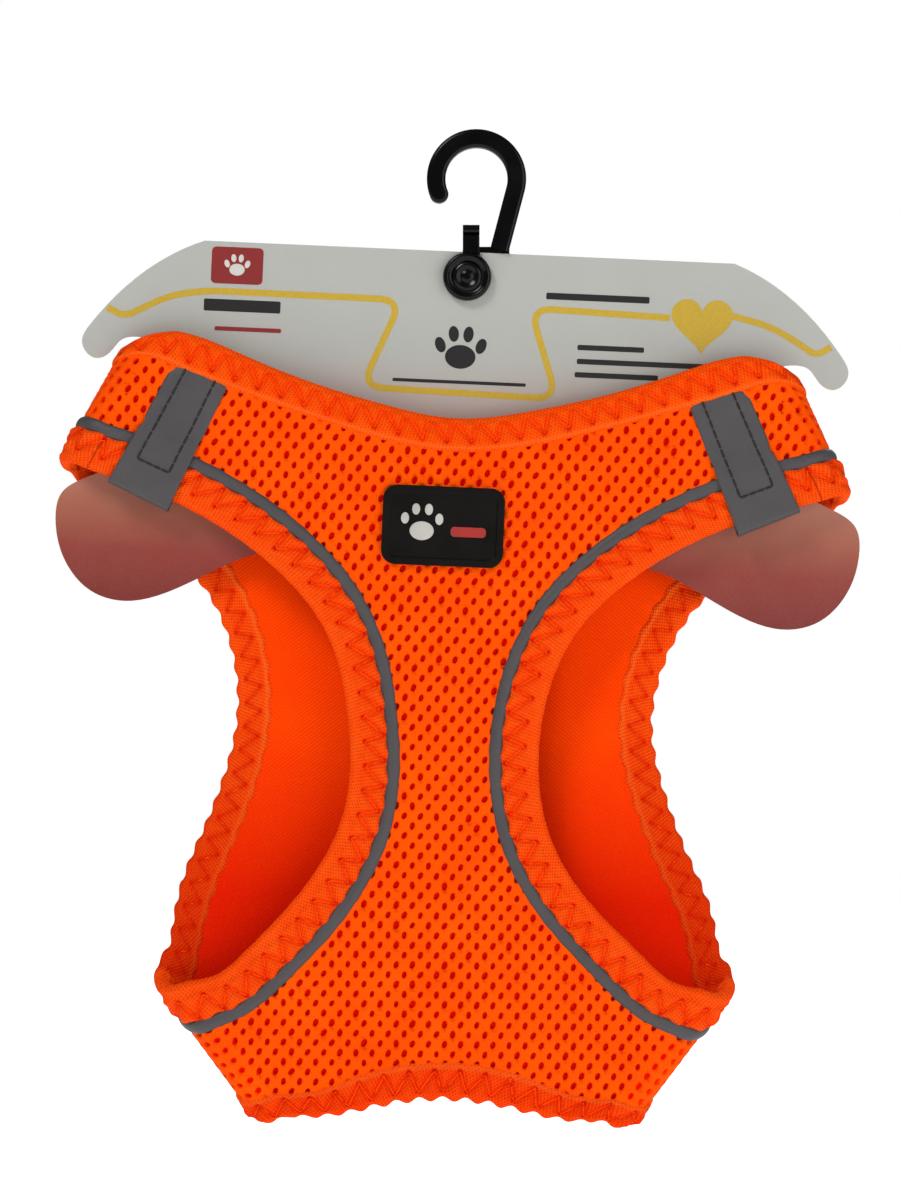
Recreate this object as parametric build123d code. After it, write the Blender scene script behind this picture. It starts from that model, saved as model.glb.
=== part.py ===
from build123d import *
import math
import os

# Step-in air-mesh chest harness, size M, shown flat on its hanger card.
# Millimetres. X runs across the chest, -Y is the front, +Z is up.
# The origin is the centre of the hanger hook's arc, where a display rod goes.
# Outlines are drawn on a straight pattern, u across and v up, which the sway
# function below turns into the leaning shape that the hung cloth takes.

# ---- lean of the hung cloth ----
LEAN = math.radians(2.5)
LEAN_LOW = math.radians(0.9)
LEAN_FULL_V = -205.0
LEAN_LOW_V = -228.0
CENTRE_TOP_X = -4.7
CENTRE_TOP_V = -49.0
CENTRE_LOW_X = -9.6

# ---- layers, as distances from the card's plane ----
INNER = 6.0
LINING_T = 0.8
MESH_T = 2.6
LINING_OUT = INNER + LINING_T
OUTER = LINING_OUT + MESH_T
BINDING_IN = INNER - 0.4
BINDING_OUT = OUTER + 0.2
MIDDLE = (INNER + OUTER) / 2

# ---- tape widths ----
BINDING_W = 11.0
PIPING_W = 3.8
PIPING_IN = INNER + 0.6

# ---- folds: anchor and direction on the pattern, lean of the wrap, band ends ----
SHOULDER = {"at": (94.1, -61.3), "along": (0.455, -0.890), "lean": 0.30, "span": (-6, 35)}
SIDE = {"at": (68.5, -251.7), "along": (0.6, 0.8), "lean": 0.70, "span": (-37, 14)}
SHOULDER_NECK = (-5.5, -0.5)
SHOULDER_PIPING = (19.7, 23.5)
SHOULDER_BINDING = (23.5, 34.5)
SIDE_HEM = (-36.5, -28.5)
SIDE_PIPING = (-3.2, 1.0)
SIDE_BINDING = (1.0, 13.5)

# ---- front outlines, right half, from the shoulder down or the centre out ----
NECK_TOP = [(0, -72.2), (22, -69.0), (45, -63.0), (66, -55.5), (80, -50.6)]
NECK_LOW = [(0, -82.0), (22, -79.3), (45, -73.2), (66, -66.8), (82, -61.4)]
LEG_LINE = [
    (98, -84.0), (81.5, -89.6), (66, -96.8), (50, -107), (36, -119.5), (26, -133.5),
    (20, -150), (17.3, -168), (17.6, -184), (21.5, -200), (29.5, -215), (41, -229),
    (53, -241), (62, -248.2),
]
HEM_TOP = [(0, -264.4), (18, -266.4), (28, -269.7), (38, -273.3)]
HEM_LOW = [(0, -275.0), (18, -277.0), (28, -279.3), (38, -280.9)]

# ---- rear outlines, right half ----
REAR_LEG_EDGE = [
    (95, -109.5), (77.5, -122), (69, -134), (64, -148), (62.5, -162), (66, -180),
    (73.5, -200), (79.5, -214),
]
REAR_NECK_TOP = [(84, -74), (60, -83), (30, -86)]
REAR_HEM_LOW = [(45, -252), (30, -244), (14, -240)]
REAR_BINDING_W = 10.0
REAR_EDGE_W = 8.0

# ---- overlap of the two rear flaps, and its hook-and-loop tapes ----
UNDER_END = 17.0
OVER_END = -17.0
RAMP_START = 36.0
RAMP_END = 19.0
TAPE_T = 1.0
TAPE_HALF_W = 12.0
TAPE_TOP_V = -100.0
TAPE_LOW_V = -227.0
TAPE_GAP_TOP_V = -150.0
TAPE_GAP_LOW_V = -182.0
OVER_IN = OUTER + 2 * TAPE_T
OVER_OUT = OVER_IN + OUTER - INNER

# ---- back strap, side-release buckle and leash rings ----
STRAP_V = -166.0
STRAP_W = 20.0
STRAP_T = 1.5
STRAP_END_U = 47.5
BUCKLE_L = 30.0
BUCKLE_W = 28.0
BUCKLE_T = 9.0
BUCKLE_WALL = 1.5
BUCKLE_EDGE_R = 1.2
BUCKLE_Y = OVER_OUT + 1.0 + BUCKLE_T / 2
BUCKLE_BAR_R = 1.6
BUCKLE_SIDE_WALL = 2.0
BUCKLE_END_WALL = 5.0
SLOT_END_WALL = 8.0
CHEEK_L = 8.4
CHEEK_T = 5.0
CHEEK_W = 3.0
WEBBING_Y = OUTER + 0.8
WEBBING_RISE = 0.5
PLUG_GAP = 0.3
PLUG_T = BUCKLE_T - 2 * BUCKLE_WALL - 2 * PLUG_GAP
PLUG_BASE_T = 3.2
PLUG_BASE_H = 7.0
TONGUE_L = 20.0
TONGUE_W = 5.0
ARM_T = 2.2
ARM_L = 17.0
ARM_DROP = 2.5
PAD_L = 8.0
PAD_W = 5.4
PAD_RISE = 0.3
RING_WIRE_R = 1.5
RING_BAR_L = 25.0
RING_BOW = 17.0
RING_U = 42.0
LOOP_GAP = 0.4
LOOP_WALL = 1.4
LOOP_END_GAP = 4.0
LOOP_FOOT_L = 4.6
LOOP_FOOT_SHIFT = 1.2

# ---- label and reflective tabs on the chest ----
LABEL_AT = (-2.9, -104.5)
LABEL_SIZE = (36.3, 23.7)
LABEL_R = 4.2
LABEL_T = 1.5
LABEL_RIM = 2.2
MOTIF_T = 0.5
PAW_AT = (-6.3, -1.6)
PAW_PAD = (3.6, 2.8)
TOE = (1.2, 1.7)
TOES_AT = [(-11.4, 2.0), (-8.2, 4.8), (-4.4, 4.8), (-1.2, 2.0)]
BAR_AT = (7.6, -1.5)
BAR_SIZE = (10.5, 3.0)
TAB_CORNERS = [(69.0, -67.0), (86.0, -61.5), (102.6, -94.6), (84.7, -102.6)]
TAB_T = 0.7

# ---- hanger card and hook ----
CARD_T = 0.6
CARD_SHIFT = 1.5
CARD_EDGE = [
    (79.5, -21.9), (92.5, -28.5), (104.5, -38.5), (112.5, -48.0), (115.0, -54.0),
    (111.0, -58.4), (107.0, -57.0), (103.2, -52.6), (98.0, -51.6), (91.0, -54.0),
]
CARD_LOBE = [
    (98.0, -80.0), (107.5, -92.4), (113.0, -94.8), (119.0, -99.0), (120.6, -108.0),
    (117.0, -120.0), (109.0, -128.3), (100.0, -130.8), (88.0, -128.4), (58.0, -114.6),
]
CARD_LOW_V = -104.0
HOOK_INNER_R = 9.3
HOOK_ROD = 5.6
HOOK_R = HOOK_INNER_R + HOOK_ROD / 2
HOOK_TIP_DEG = 202.0
HOOK_DEPTH = 4.4
HOOK_EDGE_R = 1.1
SHANK_END = (6.9, -21.3)
SNAP_AT = (-2.8, -29.4)
SNAP_R = 7.3
SNAP_T = 3.2
SNAP_EDGE_R = 1.0
STUD_R = 2.6
STUD_L = 2.4
STUD_Y = -0.5
STUD_GAP = 0.4
SOCKET_DEPTH = 2.1
HINGE_X = SNAP_AT[0] + 1.2
HINGE_Z = -15.2
HINGE_R = 1.5
HINGE_GAP = 0.4
HINGE_W = 5.0
SHEET_T = 1.8
STRAP_SHEET_T = 1.6
CARD_GAP = 0.1
FOOT_SIZE = (12.0, 8.0)


# ---------- pattern helpers ----------

def sway(u, v):
    """The place (x, z) that a point of the straight pattern takes as the cloth leans."""
    share = min(1.0, max(0.0, (v - LEAN_LOW_V) / (LEAN_FULL_V - LEAN_LOW_V)))
    turn = LEAN_LOW + (LEAN - LEAN_LOW) * share
    centre = CENTRE_TOP_X + math.tan(LEAN) * (v - CENTRE_TOP_V)
    return max(centre, CENTRE_LOW_X) + u * math.cos(turn), v - u * math.sin(turn)


def at(u, v, y=0.0):
    """A pattern point in space, y behind the card's plane."""
    x, z = sway(u, v)
    return Vector(x, y, z)


def mirrored(points, side):
    """Pattern points of the right half, moved to the given side."""
    return [(side * u, v) for u, v in points]


def shifted(points, distance):
    """Points moved square to the line through them, to its left when positive."""
    moved = []
    for i, (u, v) in enumerate(points):
        before = points[max(i - 1, 0)]
        after = points[min(i + 1, len(points) - 1)]
        du, dv = after[0] - before[0], after[1] - before[1]
        size = math.hypot(du, dv)
        moved.append((u - distance * dv / size, v + distance * du / size))
    return moved


def on_fold(fold, s):
    """The pattern point at a distance s along a fold line."""
    return (fold["at"][0] + s * fold["along"][0], fold["at"][1] + s * fold["along"][1])


def rear_s(fold, s):
    """Where a band that meets a fold line at s in front leaves it at the rear."""
    return s + 2 * fold["lean"] * MIDDLE


def outline(runs, side=1):
    """A closed face in the card's plane from runs of pattern points."""
    edges = []
    for run in runs:
        points = [at(*p) for p in mirrored(run, side)]
        edges.append(Line(*points) if len(points) == 2 else Spline(*points))
    return make_face(edges)


def slab(face, low, high):
    """The face given a thickness, from low to high behind the card's plane."""
    solid = extrude(face, amount=high - low, dir=(0, 1, 0))
    return Pos(0, low, 0) * solid


def strip(first, second, low, high, side=1):
    """A band of cloth between two lines of pattern points."""
    runs = [first, [first[-1], second[-1]], second[::-1], [second[0], first[0]]]
    return slab(outline(runs, side), low, high)


def half_turn(fold, ends, r_in, r_out, side):
    """A band of cloth that turns round a fold line, from the front to the rear."""
    first, last = fold["span"]
    top, base = (at(*p) for p in mirrored([on_fold(fold, s) for s in (first, last)], side))
    along = (base - top).normalized()
    stretch = (base - top).length / (last - first)
    start = top + along * (ends[0] - first) * stretch
    out = Vector(-along.Z, 0, along.X)
    if out.X * side < 0:
        out = out * -1

    def point(radius, degrees):
        turn = math.radians(degrees)
        y = -radius * math.cos(turn)
        lean = fold["lean"] * (MIDDLE + y)
        return start + out * (radius * math.sin(turn)) + along * lean + Vector(0, y, 0)

    steps = [0, 30, 60, 90, 120, 150, 180]
    outside = [point(r_out, a) for a in steps]
    inside = [point(r_in, a) for a in steps]
    face = make_face([
        Spline(*outside),
        Line(outside[-1], inside[-1]),
        Spline(*inside[::-1]),
        Line(inside[0], outside[0]),
    ])
    return extrude(face, amount=(ends[1] - ends[0]) * stretch, dir=along)


def joined(*solids):
    """Solids that meet face to face, as one piece."""
    whole = solids[0]
    for solid in solids[1:]:
        whole = whole + solid
    return whole


# ---------- edge lines shared by neighbouring pieces ----------

def leg_front(distance, shoulder_s, side_s):
    """A line beside the front leg opening, from the shoulder fold to the side fold."""
    middle = shifted(LEG_LINE, distance)
    return [on_fold(SHOULDER, shoulder_s), *middle, on_fold(SIDE, side_s)]


def leg_rear(distance, shoulder_s, side_s):
    """The same line on the rear flap."""
    middle = shifted(REAR_LEG_EDGE, distance)
    first = on_fold(SHOULDER, rear_s(SHOULDER, shoulder_s))
    return [first, *middle, on_fold(SIDE, rear_s(SIDE, side_s))]


FRONT_HOLE = leg_front(BINDING_W, SHOULDER_BINDING[1], SIDE_BINDING[1])
FRONT_LINE = leg_front(0.0, SHOULDER_BINDING[0], SIDE_BINDING[0])
FRONT_PIPING = leg_front(-PIPING_W, SHOULDER_PIPING[0], SIDE_PIPING[0])
REAR_HOLE = leg_rear(0.0, SHOULDER_BINDING[1], SIDE_BINDING[1])
REAR_LINE = leg_rear(-REAR_BINDING_W, SHOULDER_BINDING[0], SIDE_BINDING[0])
REAR_PIPING = leg_rear(
    -REAR_BINDING_W - PIPING_W, SHOULDER_PIPING[0], SIDE_PIPING[0]
)


def half_hem(points, s):
    """A hem line from the centre to the side fold."""
    return [*points, on_fold(SIDE, s)]


def across(half):
    """A line over both halves from the points of its right half, left end first."""
    return [(-u, v) for u, v in half[:0:-1]] + half


FRONT_NECK_TOP = [*NECK_TOP, on_fold(SHOULDER, SHOULDER_NECK[0])]
FRONT_NECK_LOW = [*NECK_LOW, on_fold(SHOULDER, SHOULDER_NECK[1])]
FRONT_HEM_TOP = half_hem(HEM_TOP, SIDE_HEM[1])
FRONT_HEM_LOW = half_hem(HEM_LOW, SIDE_HEM[0])


def flap_line(points, shoulder, fold_s, end_u, distance):
    """A rear neck or hem line from its fold to the flap's end at end_u."""
    fold = SHOULDER if shoulder else SIDE
    middle = shifted(points, distance)
    last = middle[-1]
    return [on_fold(fold, rear_s(fold, fold_s)), *middle, (end_u, last[1])]


# ---------- chest panel ----------

def chest_panel(low, high):
    """One layer of the chest panel, between its bindings and pipings."""
    left_piping = mirrored(FRONT_PIPING, -1)
    neck = across(FRONT_NECK_LOW)
    hem = across(FRONT_HEM_TOP)
    runs = [
        neck,
        [neck[-1], FRONT_PIPING[0]],
        FRONT_PIPING,
        [FRONT_PIPING[-1], hem[-1]],
        hem[::-1],
        [hem[0], left_piping[-1]],
        left_piping[::-1],
        [left_piping[0], neck[0]],
    ]
    return slab(outline(runs), low, high)


# ---------- rear flaps ----------

def flap_ends(side):
    """How far a flap runs past the centre, in its own side's u."""
    return -UNDER_END if side < 0 else OVER_END


def flap_outline(side):
    """The area of a rear flap's cloth inside its bindings."""
    end = flap_ends(side)
    neck = flap_line(REAR_NECK_TOP, True, SHOULDER_NECK[1], end, REAR_EDGE_W)
    hem = flap_line(REAR_HEM_LOW, False, SIDE_HEM[1], end, -REAR_EDGE_W)
    runs = [
        neck,
        [neck[-1], hem[-1]],
        hem[::-1],
        [hem[0], REAR_PIPING[-1]],
        REAR_PIPING[::-1],
        [REAR_PIPING[0], neck[0]],
    ]
    return outline(runs, side)


def jogged(face, low, high):
    """The upper flap's layer: it steps outward to lie over the lower flap."""
    rise = OVER_IN - INNER
    block_low, block_high = STRAP_V - 120, STRAP_V + 120
    profile = Polyline(
        at(130, STRAP_V, low), at(RAMP_START, STRAP_V, low),
        at(RAMP_END, STRAP_V, low + rise), at(-60, STRAP_V, low + rise),
        at(-60, STRAP_V, high + rise), at(RAMP_END, STRAP_V, high + rise),
        at(RAMP_START, STRAP_V, high), at(130, STRAP_V, high),
        close=True,
    )
    lift = Vector(math.sin(LEAN), 0, math.cos(LEAN))
    bent = extrude(make_face(profile), amount=block_high - block_low, dir=lift)
    bent = Pos(*(lift * (block_low - STRAP_V))) * bent
    return bent & slab(face, INNER - 5, OVER_OUT + 5)


def rear_layer(face, low, high, side):
    """One layer on a rear flap: flat on the lower flap, stepped on the upper one."""
    return slab(face, low, high) if side < 0 else jogged(face, low, high)


def flap_layer(low, high, side):
    """A flap's cloth with the bands that turn round its shoulder and side folds."""
    shoulder = (SHOULDER_NECK[1], SHOULDER_PIPING[0])
    hip = (SIDE_HEM[1], SIDE_PIPING[0])
    return joined(
        rear_layer(flap_outline(side), low, high, side),
        half_turn(SHOULDER, shoulder, low, high, side),
        half_turn(SIDE, hip, low, high, side),
    )


# ---------- bindings and piping ----------

def neck_binding():
    """The tape round the neck opening, from one flap's end to the other's."""
    low, high = BINDING_IN, BINDING_OUT
    pieces = [strip(across(FRONT_NECK_TOP), across(FRONT_NECK_LOW), -high, -low)]
    for side in (-1, 1):
        end = flap_ends(side)
        top = flap_line(REAR_NECK_TOP, True, SHOULDER_NECK[0], end, 0.0)
        under = flap_line(REAR_NECK_TOP, True, SHOULDER_NECK[1], end, REAR_EDGE_W)
        face = outline([top, [top[-1], under[-1]], under[::-1], [under[0], top[0]]], side)
        pieces.append(rear_layer(face, low, high, side))
        pieces.append(half_turn(SHOULDER, SHOULDER_NECK, low, high, side))
    return joined(*pieces)


def hem_binding():
    """The tape round the belly edge, from one flap's end to the other's."""
    low, high = BINDING_IN, BINDING_OUT
    pieces = [strip(across(FRONT_HEM_TOP), across(FRONT_HEM_LOW), -high, -low)]
    for side in (-1, 1):
        end = flap_ends(side)
        top = flap_line(REAR_HEM_LOW, False, SIDE_HEM[1], end, -REAR_EDGE_W)
        under = flap_line(REAR_HEM_LOW, False, SIDE_HEM[0], end, 0.0)
        face = outline([top, [top[-1], under[-1]], under[::-1], [under[0], top[0]]], side)
        pieces.append(rear_layer(face, low, high, side))
        pieces.append(half_turn(SIDE, SIDE_HEM, low, high, side))
    return joined(*pieces)


def leg_loop(front, rear, shoulder, hip, low, high, side):
    """A tape that runs all round one leg opening."""
    return joined(
        strip(*front, -high, -low, side),
        half_turn(SHOULDER, shoulder, low, high, side),
        strip(*rear, low, high, side),
        half_turn(SIDE, hip, low, high, side),
    )


def leg_binding(side):
    """The wide tape at the leg opening's edge."""
    front, rear = (FRONT_LINE, FRONT_HOLE), (REAR_LINE, REAR_HOLE)
    ends = SHOULDER_BINDING, SIDE_BINDING
    return leg_loop(front, rear, *ends, BINDING_IN, BINDING_OUT, side)


def piping(side):
    """The narrow reflective cord between the leg binding and the mesh."""
    front, rear = (FRONT_PIPING, FRONT_LINE), (REAR_PIPING, REAR_LINE)
    ends = SHOULDER_PIPING, SIDE_PIPING
    return leg_loop(front, rear, *ends, PIPING_IN, BINDING_OUT, side)


def front_tab(side):
    """A flat reflective tab stitched over the shoulder band."""
    corners = [*TAB_CORNERS, TAB_CORNERS[0]]
    runs = [[a, b] for a, b in zip(corners, corners[1:])]
    return slab(outline(runs, side), -BINDING_OUT - TAB_T, -BINDING_OUT)


# ---------- hook-and-loop tapes ----------

def closure_tape(low, high):
    """Two patches of tape in the overlap of the flaps, one above the strap, one below."""
    patches = []
    for top, base in ((TAPE_TOP_V, TAPE_GAP_TOP_V), (TAPE_GAP_LOW_V, TAPE_LOW_V)):
        w = TAPE_HALF_W
        corners = [(-w, top), (w, top), (w, base), (-w, base), (-w, top)]
        runs = [[a, b] for a, b in zip(corners, corners[1:])]
        patches.append(slab(outline(runs), low, high))
    return joined(*patches)


# ---------- label ----------

def rigid(u, v, y=0.0):
    """The place of a stiff piece: it turns with the lean about its own point."""
    return Pos(*at(u, v, y)) * Rot(0, math.degrees(LEAN), 0)


def facing_front(u, v, y):
    """The place of a piece drawn in its own XY plane, stood up to face the front."""
    return rigid(u, v, y) * Rot(90, 0, 0)


def label_base():
    """The moulded rubber label on the chest, with a raised rim."""
    body = extrude(RectangleRounded(*LABEL_SIZE, LABEL_R), amount=LABEL_T - MOTIF_T)
    width, height = (size - 2 * LABEL_RIM for size in LABEL_SIZE)
    inner = RectangleRounded(width, height, LABEL_R - LABEL_RIM + 0.2)
    rim = extrude(RectangleRounded(*LABEL_SIZE, LABEL_R) - inner, amount=LABEL_T)
    return facing_front(*LABEL_AT, -OUTER) * (body + rim)


def label_motif():
    """A plain raised paw and bar inside the label's rim."""
    shapes = [Pos(*place) * Ellipse(*TOE) for place in TOES_AT]
    shapes.append(Pos(*PAW_AT) * Ellipse(*PAW_PAD))
    shapes.append(Pos(*BAR_AT) * RectangleRounded(*BAR_SIZE, 0.4 * BAR_SIZE[1]))
    raised = [extrude(shape, amount=MOTIF_T) for shape in shapes]
    return facing_front(*LABEL_AT, -OUTER - LABEL_T + MOTIF_T) * Part(children=raised)


# ---------- back strap, rings and buckle ----------

def ribbon(points, thickness, half_width):
    """A length of webbing: a line in plan, thickened outward, as wide as the strap."""
    outer = []
    for i, (x, y) in enumerate(points):
        before = points[max(i - 1, 0)]
        after = points[min(i + 1, len(points) - 1)]
        dx, dy = after[0] - before[0], after[1] - before[1]
        size = math.hypot(dx, dy)
        outer.append((x - thickness * dy / size, y + thickness * dx / size))
    plan = Polyline(*points, *outer[::-1], close=True)
    solid = extrude(make_face(plan), amount=2 * half_width)
    return Pos(0, 0, -half_width) * solid


def on_strap(solid):
    """A piece drawn about the strap's middle, put in its place on the back."""
    return rigid(0, STRAP_V) * solid


SOCKET_BAR_U = -BUCKLE_L / 2 - 4.2
PLUG_BAR_U = BUCKLE_L / 2 + 8.4
EYE_R = BUCKLE_BAR_R + LOOP_GAP


def bar_eye(u):
    """The turned end of a webbing length round a buckle bar."""
    eye = Circle(EYE_R + STRAP_T) - Circle(EYE_R)
    solid = extrude(eye, amount=STRAP_W)
    return Pos(u, BUCKLE_Y, -STRAP_W / 2) * solid


def socket_webbing():
    """Webbing sewn to the lower flap, ending in an eye round the socket's bar."""
    eye_x = SOCKET_BAR_U
    points = [
        (-STRAP_END_U, WEBBING_Y), (-RAMP_START, WEBBING_Y), (eye_x - 4, BUCKLE_Y - STRAP_T),
        (eye_x - EYE_R - WEBBING_RISE, BUCKLE_Y - STRAP_T / 2),
    ]
    return on_strap(ribbon(points, STRAP_T, STRAP_W / 2) + bar_eye(eye_x))


def plug_webbing():
    """Webbing from the plug's bar down the upper flap, drawn out with the plug."""
    eye_x = PLUG_BAR_U
    points = [
        (eye_x + EYE_R + WEBBING_RISE, BUCKLE_Y - STRAP_T / 2), (RAMP_START + 1, WEBBING_Y),
        (STRAP_END_U + 1, WEBBING_Y),
    ]
    return on_strap(ribbon(points, STRAP_T, STRAP_W / 2) + bar_eye(eye_x))


def cheek_pair(start_u, gap_u):
    """Two end cheeks that hold a webbing bar, open between them from gap_u outward."""
    cheeks = Pos(start_u, 0, 0) * Box(CHEEK_L, CHEEK_T, BUCKLE_W)
    gap = Pos(gap_u, 0, 0) * Box(CHEEK_L, CHEEK_T + 1, BUCKLE_W - 2 * CHEEK_W)
    return cheeks - gap


def buckle_socket():
    """The hollow half of the buckle, open at its mouth and along its sides."""
    inside_t = BUCKLE_T - 2 * BUCKLE_WALL
    shell = Box(BUCKLE_L, BUCKLE_T, BUCKLE_W)
    shell = fillet(shell.edges().filter_by(Axis.X), BUCKLE_EDGE_R)
    cavity = Box(BUCKLE_L, inside_t, BUCKLE_W - 2 * BUCKLE_SIDE_WALL)
    side_slots = Box(BUCKLE_L - SLOT_END_WALL, inside_t, BUCKLE_W + 2)
    shell = shell - Pos(BUCKLE_END_WALL, 0, 0) * cavity
    shell = shell - Pos(SLOT_END_WALL, 0, 0) * side_slots
    cheeks = cheek_pair(-BUCKLE_L / 2 - 2.6, -BUCKLE_L / 2 - 4)
    bar = Pos(SOCKET_BAR_U, 0, 0) * Cylinder(BUCKLE_BAR_R, BUCKLE_W - 2)
    return on_strap(Pos(0, BUCKLE_Y, 0) * joined(shell, cheeks, bar))


ARM_ROOT_U = BUCKLE_L / 2 + 1.5
ARM_Z = BUCKLE_W / 2 - 4.2


def buckle_plug():
    """The solid half of the buckle: a cross bar, a guide tongue and a webbing bar."""
    width = BUCKLE_W - 1
    base = Pos(BUCKLE_L / 2 + 2.6, 0, 0) * Box(PLUG_BASE_T, PLUG_BASE_H, width)
    base = fillet(base.edges().filter_by(Axis.Y), PLUG_BASE_T / 4)
    tongue = Pos(BUCKLE_L / 2 + 1 - TONGUE_L / 2, 0, 0) * Box(TONGUE_L, PLUG_T, TONGUE_W)
    cheeks = Pos(BUCKLE_L / 2 + 7, 0, 0) * Box(8, CHEEK_T, width)
    cheeks = cheeks - Pos(BUCKLE_L / 2 + 7, 0, 0) * Box(12, CHEEK_T + 1, width - 2 * CHEEK_W)
    bar = Pos(PLUG_BAR_U, 0, 0) * Cylinder(BUCKLE_BAR_R, BUCKLE_W - 4)
    return on_strap(Pos(0, BUCKLE_Y, 0) * joined(base, tongue, cheeks, bar))


def plug_arm(up):
    """One sprung arm of the plug, with the thumb pad that shows in the socket's side."""
    leaf_u, pad_u = ARM_ROOT_U - 1 - ARM_L / 2, ARM_ROOT_U + 2 - ARM_L
    leaf = Pos(leaf_u, 0, up * (ARM_Z - ARM_DROP)) * Box(ARM_L, PLUG_T, ARM_T)
    pad = Pos(pad_u, 0, up * (ARM_Z + PAD_RISE)) * Box(PAD_L, PLUG_T, PAD_W)
    pad = fillet(pad.edges().filter_by(Axis.Y), BUCKLE_EDGE_R)
    return on_strap(Pos(0, BUCKLE_Y, 0) * joined(leaf, pad))


RING_Y = WEBBING_Y + STRAP_T + LOOP_WALL + LOOP_GAP + RING_WIRE_R


def d_ring(side):
    """A welded steel D: a straight bar across the strap and a round bow."""
    half = RING_BAR_L / 2
    bow = ThreePointArc((0, 0, half), (side * RING_BOW, 0, 0), (0, 0, -half))
    section = Plane(origin=(0, 0, half), z_dir=bow % 0) * Circle(RING_WIRE_R)
    ring = sweep(section, path=bow)
    ring = ring + Cylinder(RING_WIRE_R, RING_BAR_L)
    for end in (-half, half):
        ring = ring + Pos(0, 0, end) * Sphere(RING_WIRE_R)
    return on_strap(Pos(side * RING_U, RING_Y, 0) * ring)


def ring_loop(side):
    """The short fold of webbing that holds a ring's bar to the strap."""
    radius = RING_WIRE_R + LOOP_GAP
    length = RING_BAR_L - 2 * LOOP_END_GAP
    eye = extrude(Circle(radius + LOOP_WALL) - Circle(radius), amount=length)
    foot = Box(LOOP_FOOT_L, LOOP_WALL, length)
    foot = Pos(-side * LOOP_FOOT_SHIFT, -radius - LOOP_WALL / 2, length / 2) * foot
    foot = foot - Cylinder(radius + 0.1, 3 * length)
    loop = Pos(0, 0, -length / 2) * joined(eye, foot)
    return on_strap(Pos(side * RING_U, RING_Y, 0) * loop)


# ---------- hanger card and hook ----------

def hanger_card():
    """The butterfly card: two wings above the shoulder bands, two lobes below."""
    right = [(u + CARD_SHIFT, v) for u, v in CARD_EDGE]
    left = [(-u + CARD_SHIFT, v) for u, v in CARD_EDGE]
    right_lobe = [(u + CARD_SHIFT, v) for u, v in CARD_LOBE]
    left_lobe = [(-u + CARD_SHIFT, v) for u, v in CARD_LOBE]
    low_right, low_left = (30.0, CARD_LOW_V), (-30.0, CARD_LOW_V)
    runs = [
        [left[0], right[0]],
        right,
        [right[-1], right_lobe[0]],
        right_lobe,
        [right_lobe[-1], low_right],
        [low_right, low_left],
        [low_left, left_lobe[-1]],
        left_lobe[::-1],
        [left_lobe[0], left[-1]],
        left[::-1],
    ]
    card = slab(outline(runs), -CARD_T / 2, CARD_T / 2)
    hole = Pos(SNAP_AT[0], 0, SNAP_AT[1]) * Rot(90, 0, 0) * Cylinder(STUD_R + STUD_GAP, 10)
    return card - hole


def hook_rod():
    """The hook: an arc over the display rod and a straight shank that leaves it on a tangent."""
    end_x, end_z = SHANK_END
    leave = math.acos(HOOK_R / math.hypot(end_x, end_z)) + math.atan2(end_z, end_x)
    start = Vector(HOOK_R * math.cos(leave), 0, HOOK_R * math.sin(leave))
    reach = Vector(end_x, 0, end_z) - start
    flat = Pos(HOOK_R, 0, 0) * RectangleRounded(HOOK_ROD, HOOK_DEPTH, HOOK_EDGE_R)
    section = Rot(0, -math.degrees(leave), 0) * flat
    turn = HOOK_TIP_DEG - math.degrees(leave)
    arc = revolve(section, axis=Axis((0, 0, 0), (0, -1, 0)), revolution_arc=turn)
    shank = extrude(section, amount=reach.length, dir=reach)
    tip = math.radians(HOOK_TIP_DEG)
    end = Cylinder(HOOK_ROD / 2, HOOK_DEPTH)
    end = fillet(end.edges(), HOOK_EDGE_R)
    end = Pos(HOOK_R * math.cos(tip), 0, HOOK_R * math.sin(tip)) * Rot(90, 0, 0) * end
    return joined(arc, shank, end)


def across_card(x, y, z, solid):
    """A round piece stood square to the card at a point."""
    return Pos(x, y, z) * Rot(90, 0, 0) * solid


def hanger_hook():
    """The hook with its backing plate behind the card, the stud and the hinge barrel."""
    middle = CARD_T / 2 + CARD_GAP + SHEET_T / 2
    disc = across_card(SNAP_AT[0], middle, SNAP_AT[1], Cylinder(SNAP_R, SHEET_T))
    neck_height = HINGE_Z - SNAP_AT[1]
    neck = Box(HINGE_W, SHEET_T, neck_height)
    neck = Pos(HINGE_X, middle, SNAP_AT[1] + neck_height / 2) * neck
    foot = Pos(SHANK_END[0] - 3, middle, SHANK_END[1] - 3) * Box(
        FOOT_SIZE[0], SHEET_T, FOOT_SIZE[1]
    )
    stud = across_card(SNAP_AT[0], STUD_Y, SNAP_AT[1], Cylinder(STUD_R, STUD_L))
    barrel = Pos(HINGE_X, 0, HINGE_Z) * Rot(0, 90, 0) * Cylinder(HINGE_R, HINGE_W)
    return joined(disc, neck, foot, stud, barrel, hook_rod())


def snap_cap():
    """The front half of the hanger snap: a strap from the hinge and a domed disc."""
    front = -CARD_T / 2 - CARD_GAP
    strap_top = HINGE_Z - HINGE_R - HINGE_GAP
    strap_low = SNAP_AT[1] + SNAP_R / 2
    strap = Box(HINGE_W, STRAP_SHEET_T, strap_top - strap_low)
    strap = Pos(HINGE_X, front - STRAP_SHEET_T / 2, (strap_top + strap_low) / 2) * strap
    disc = across_card(SNAP_AT[0], front - SNAP_T / 2, SNAP_AT[1], Cylinder(SNAP_R, SNAP_T))
    disc = fillet(disc.faces().sort_by(Axis.Y)[0].edges(), SNAP_EDGE_R)
    recess = Cylinder(STUD_R + STUD_GAP, 2 * SOCKET_DEPTH)
    return joined(strap, disc) - across_card(SNAP_AT[0], front, SNAP_AT[1], recess)


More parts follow.
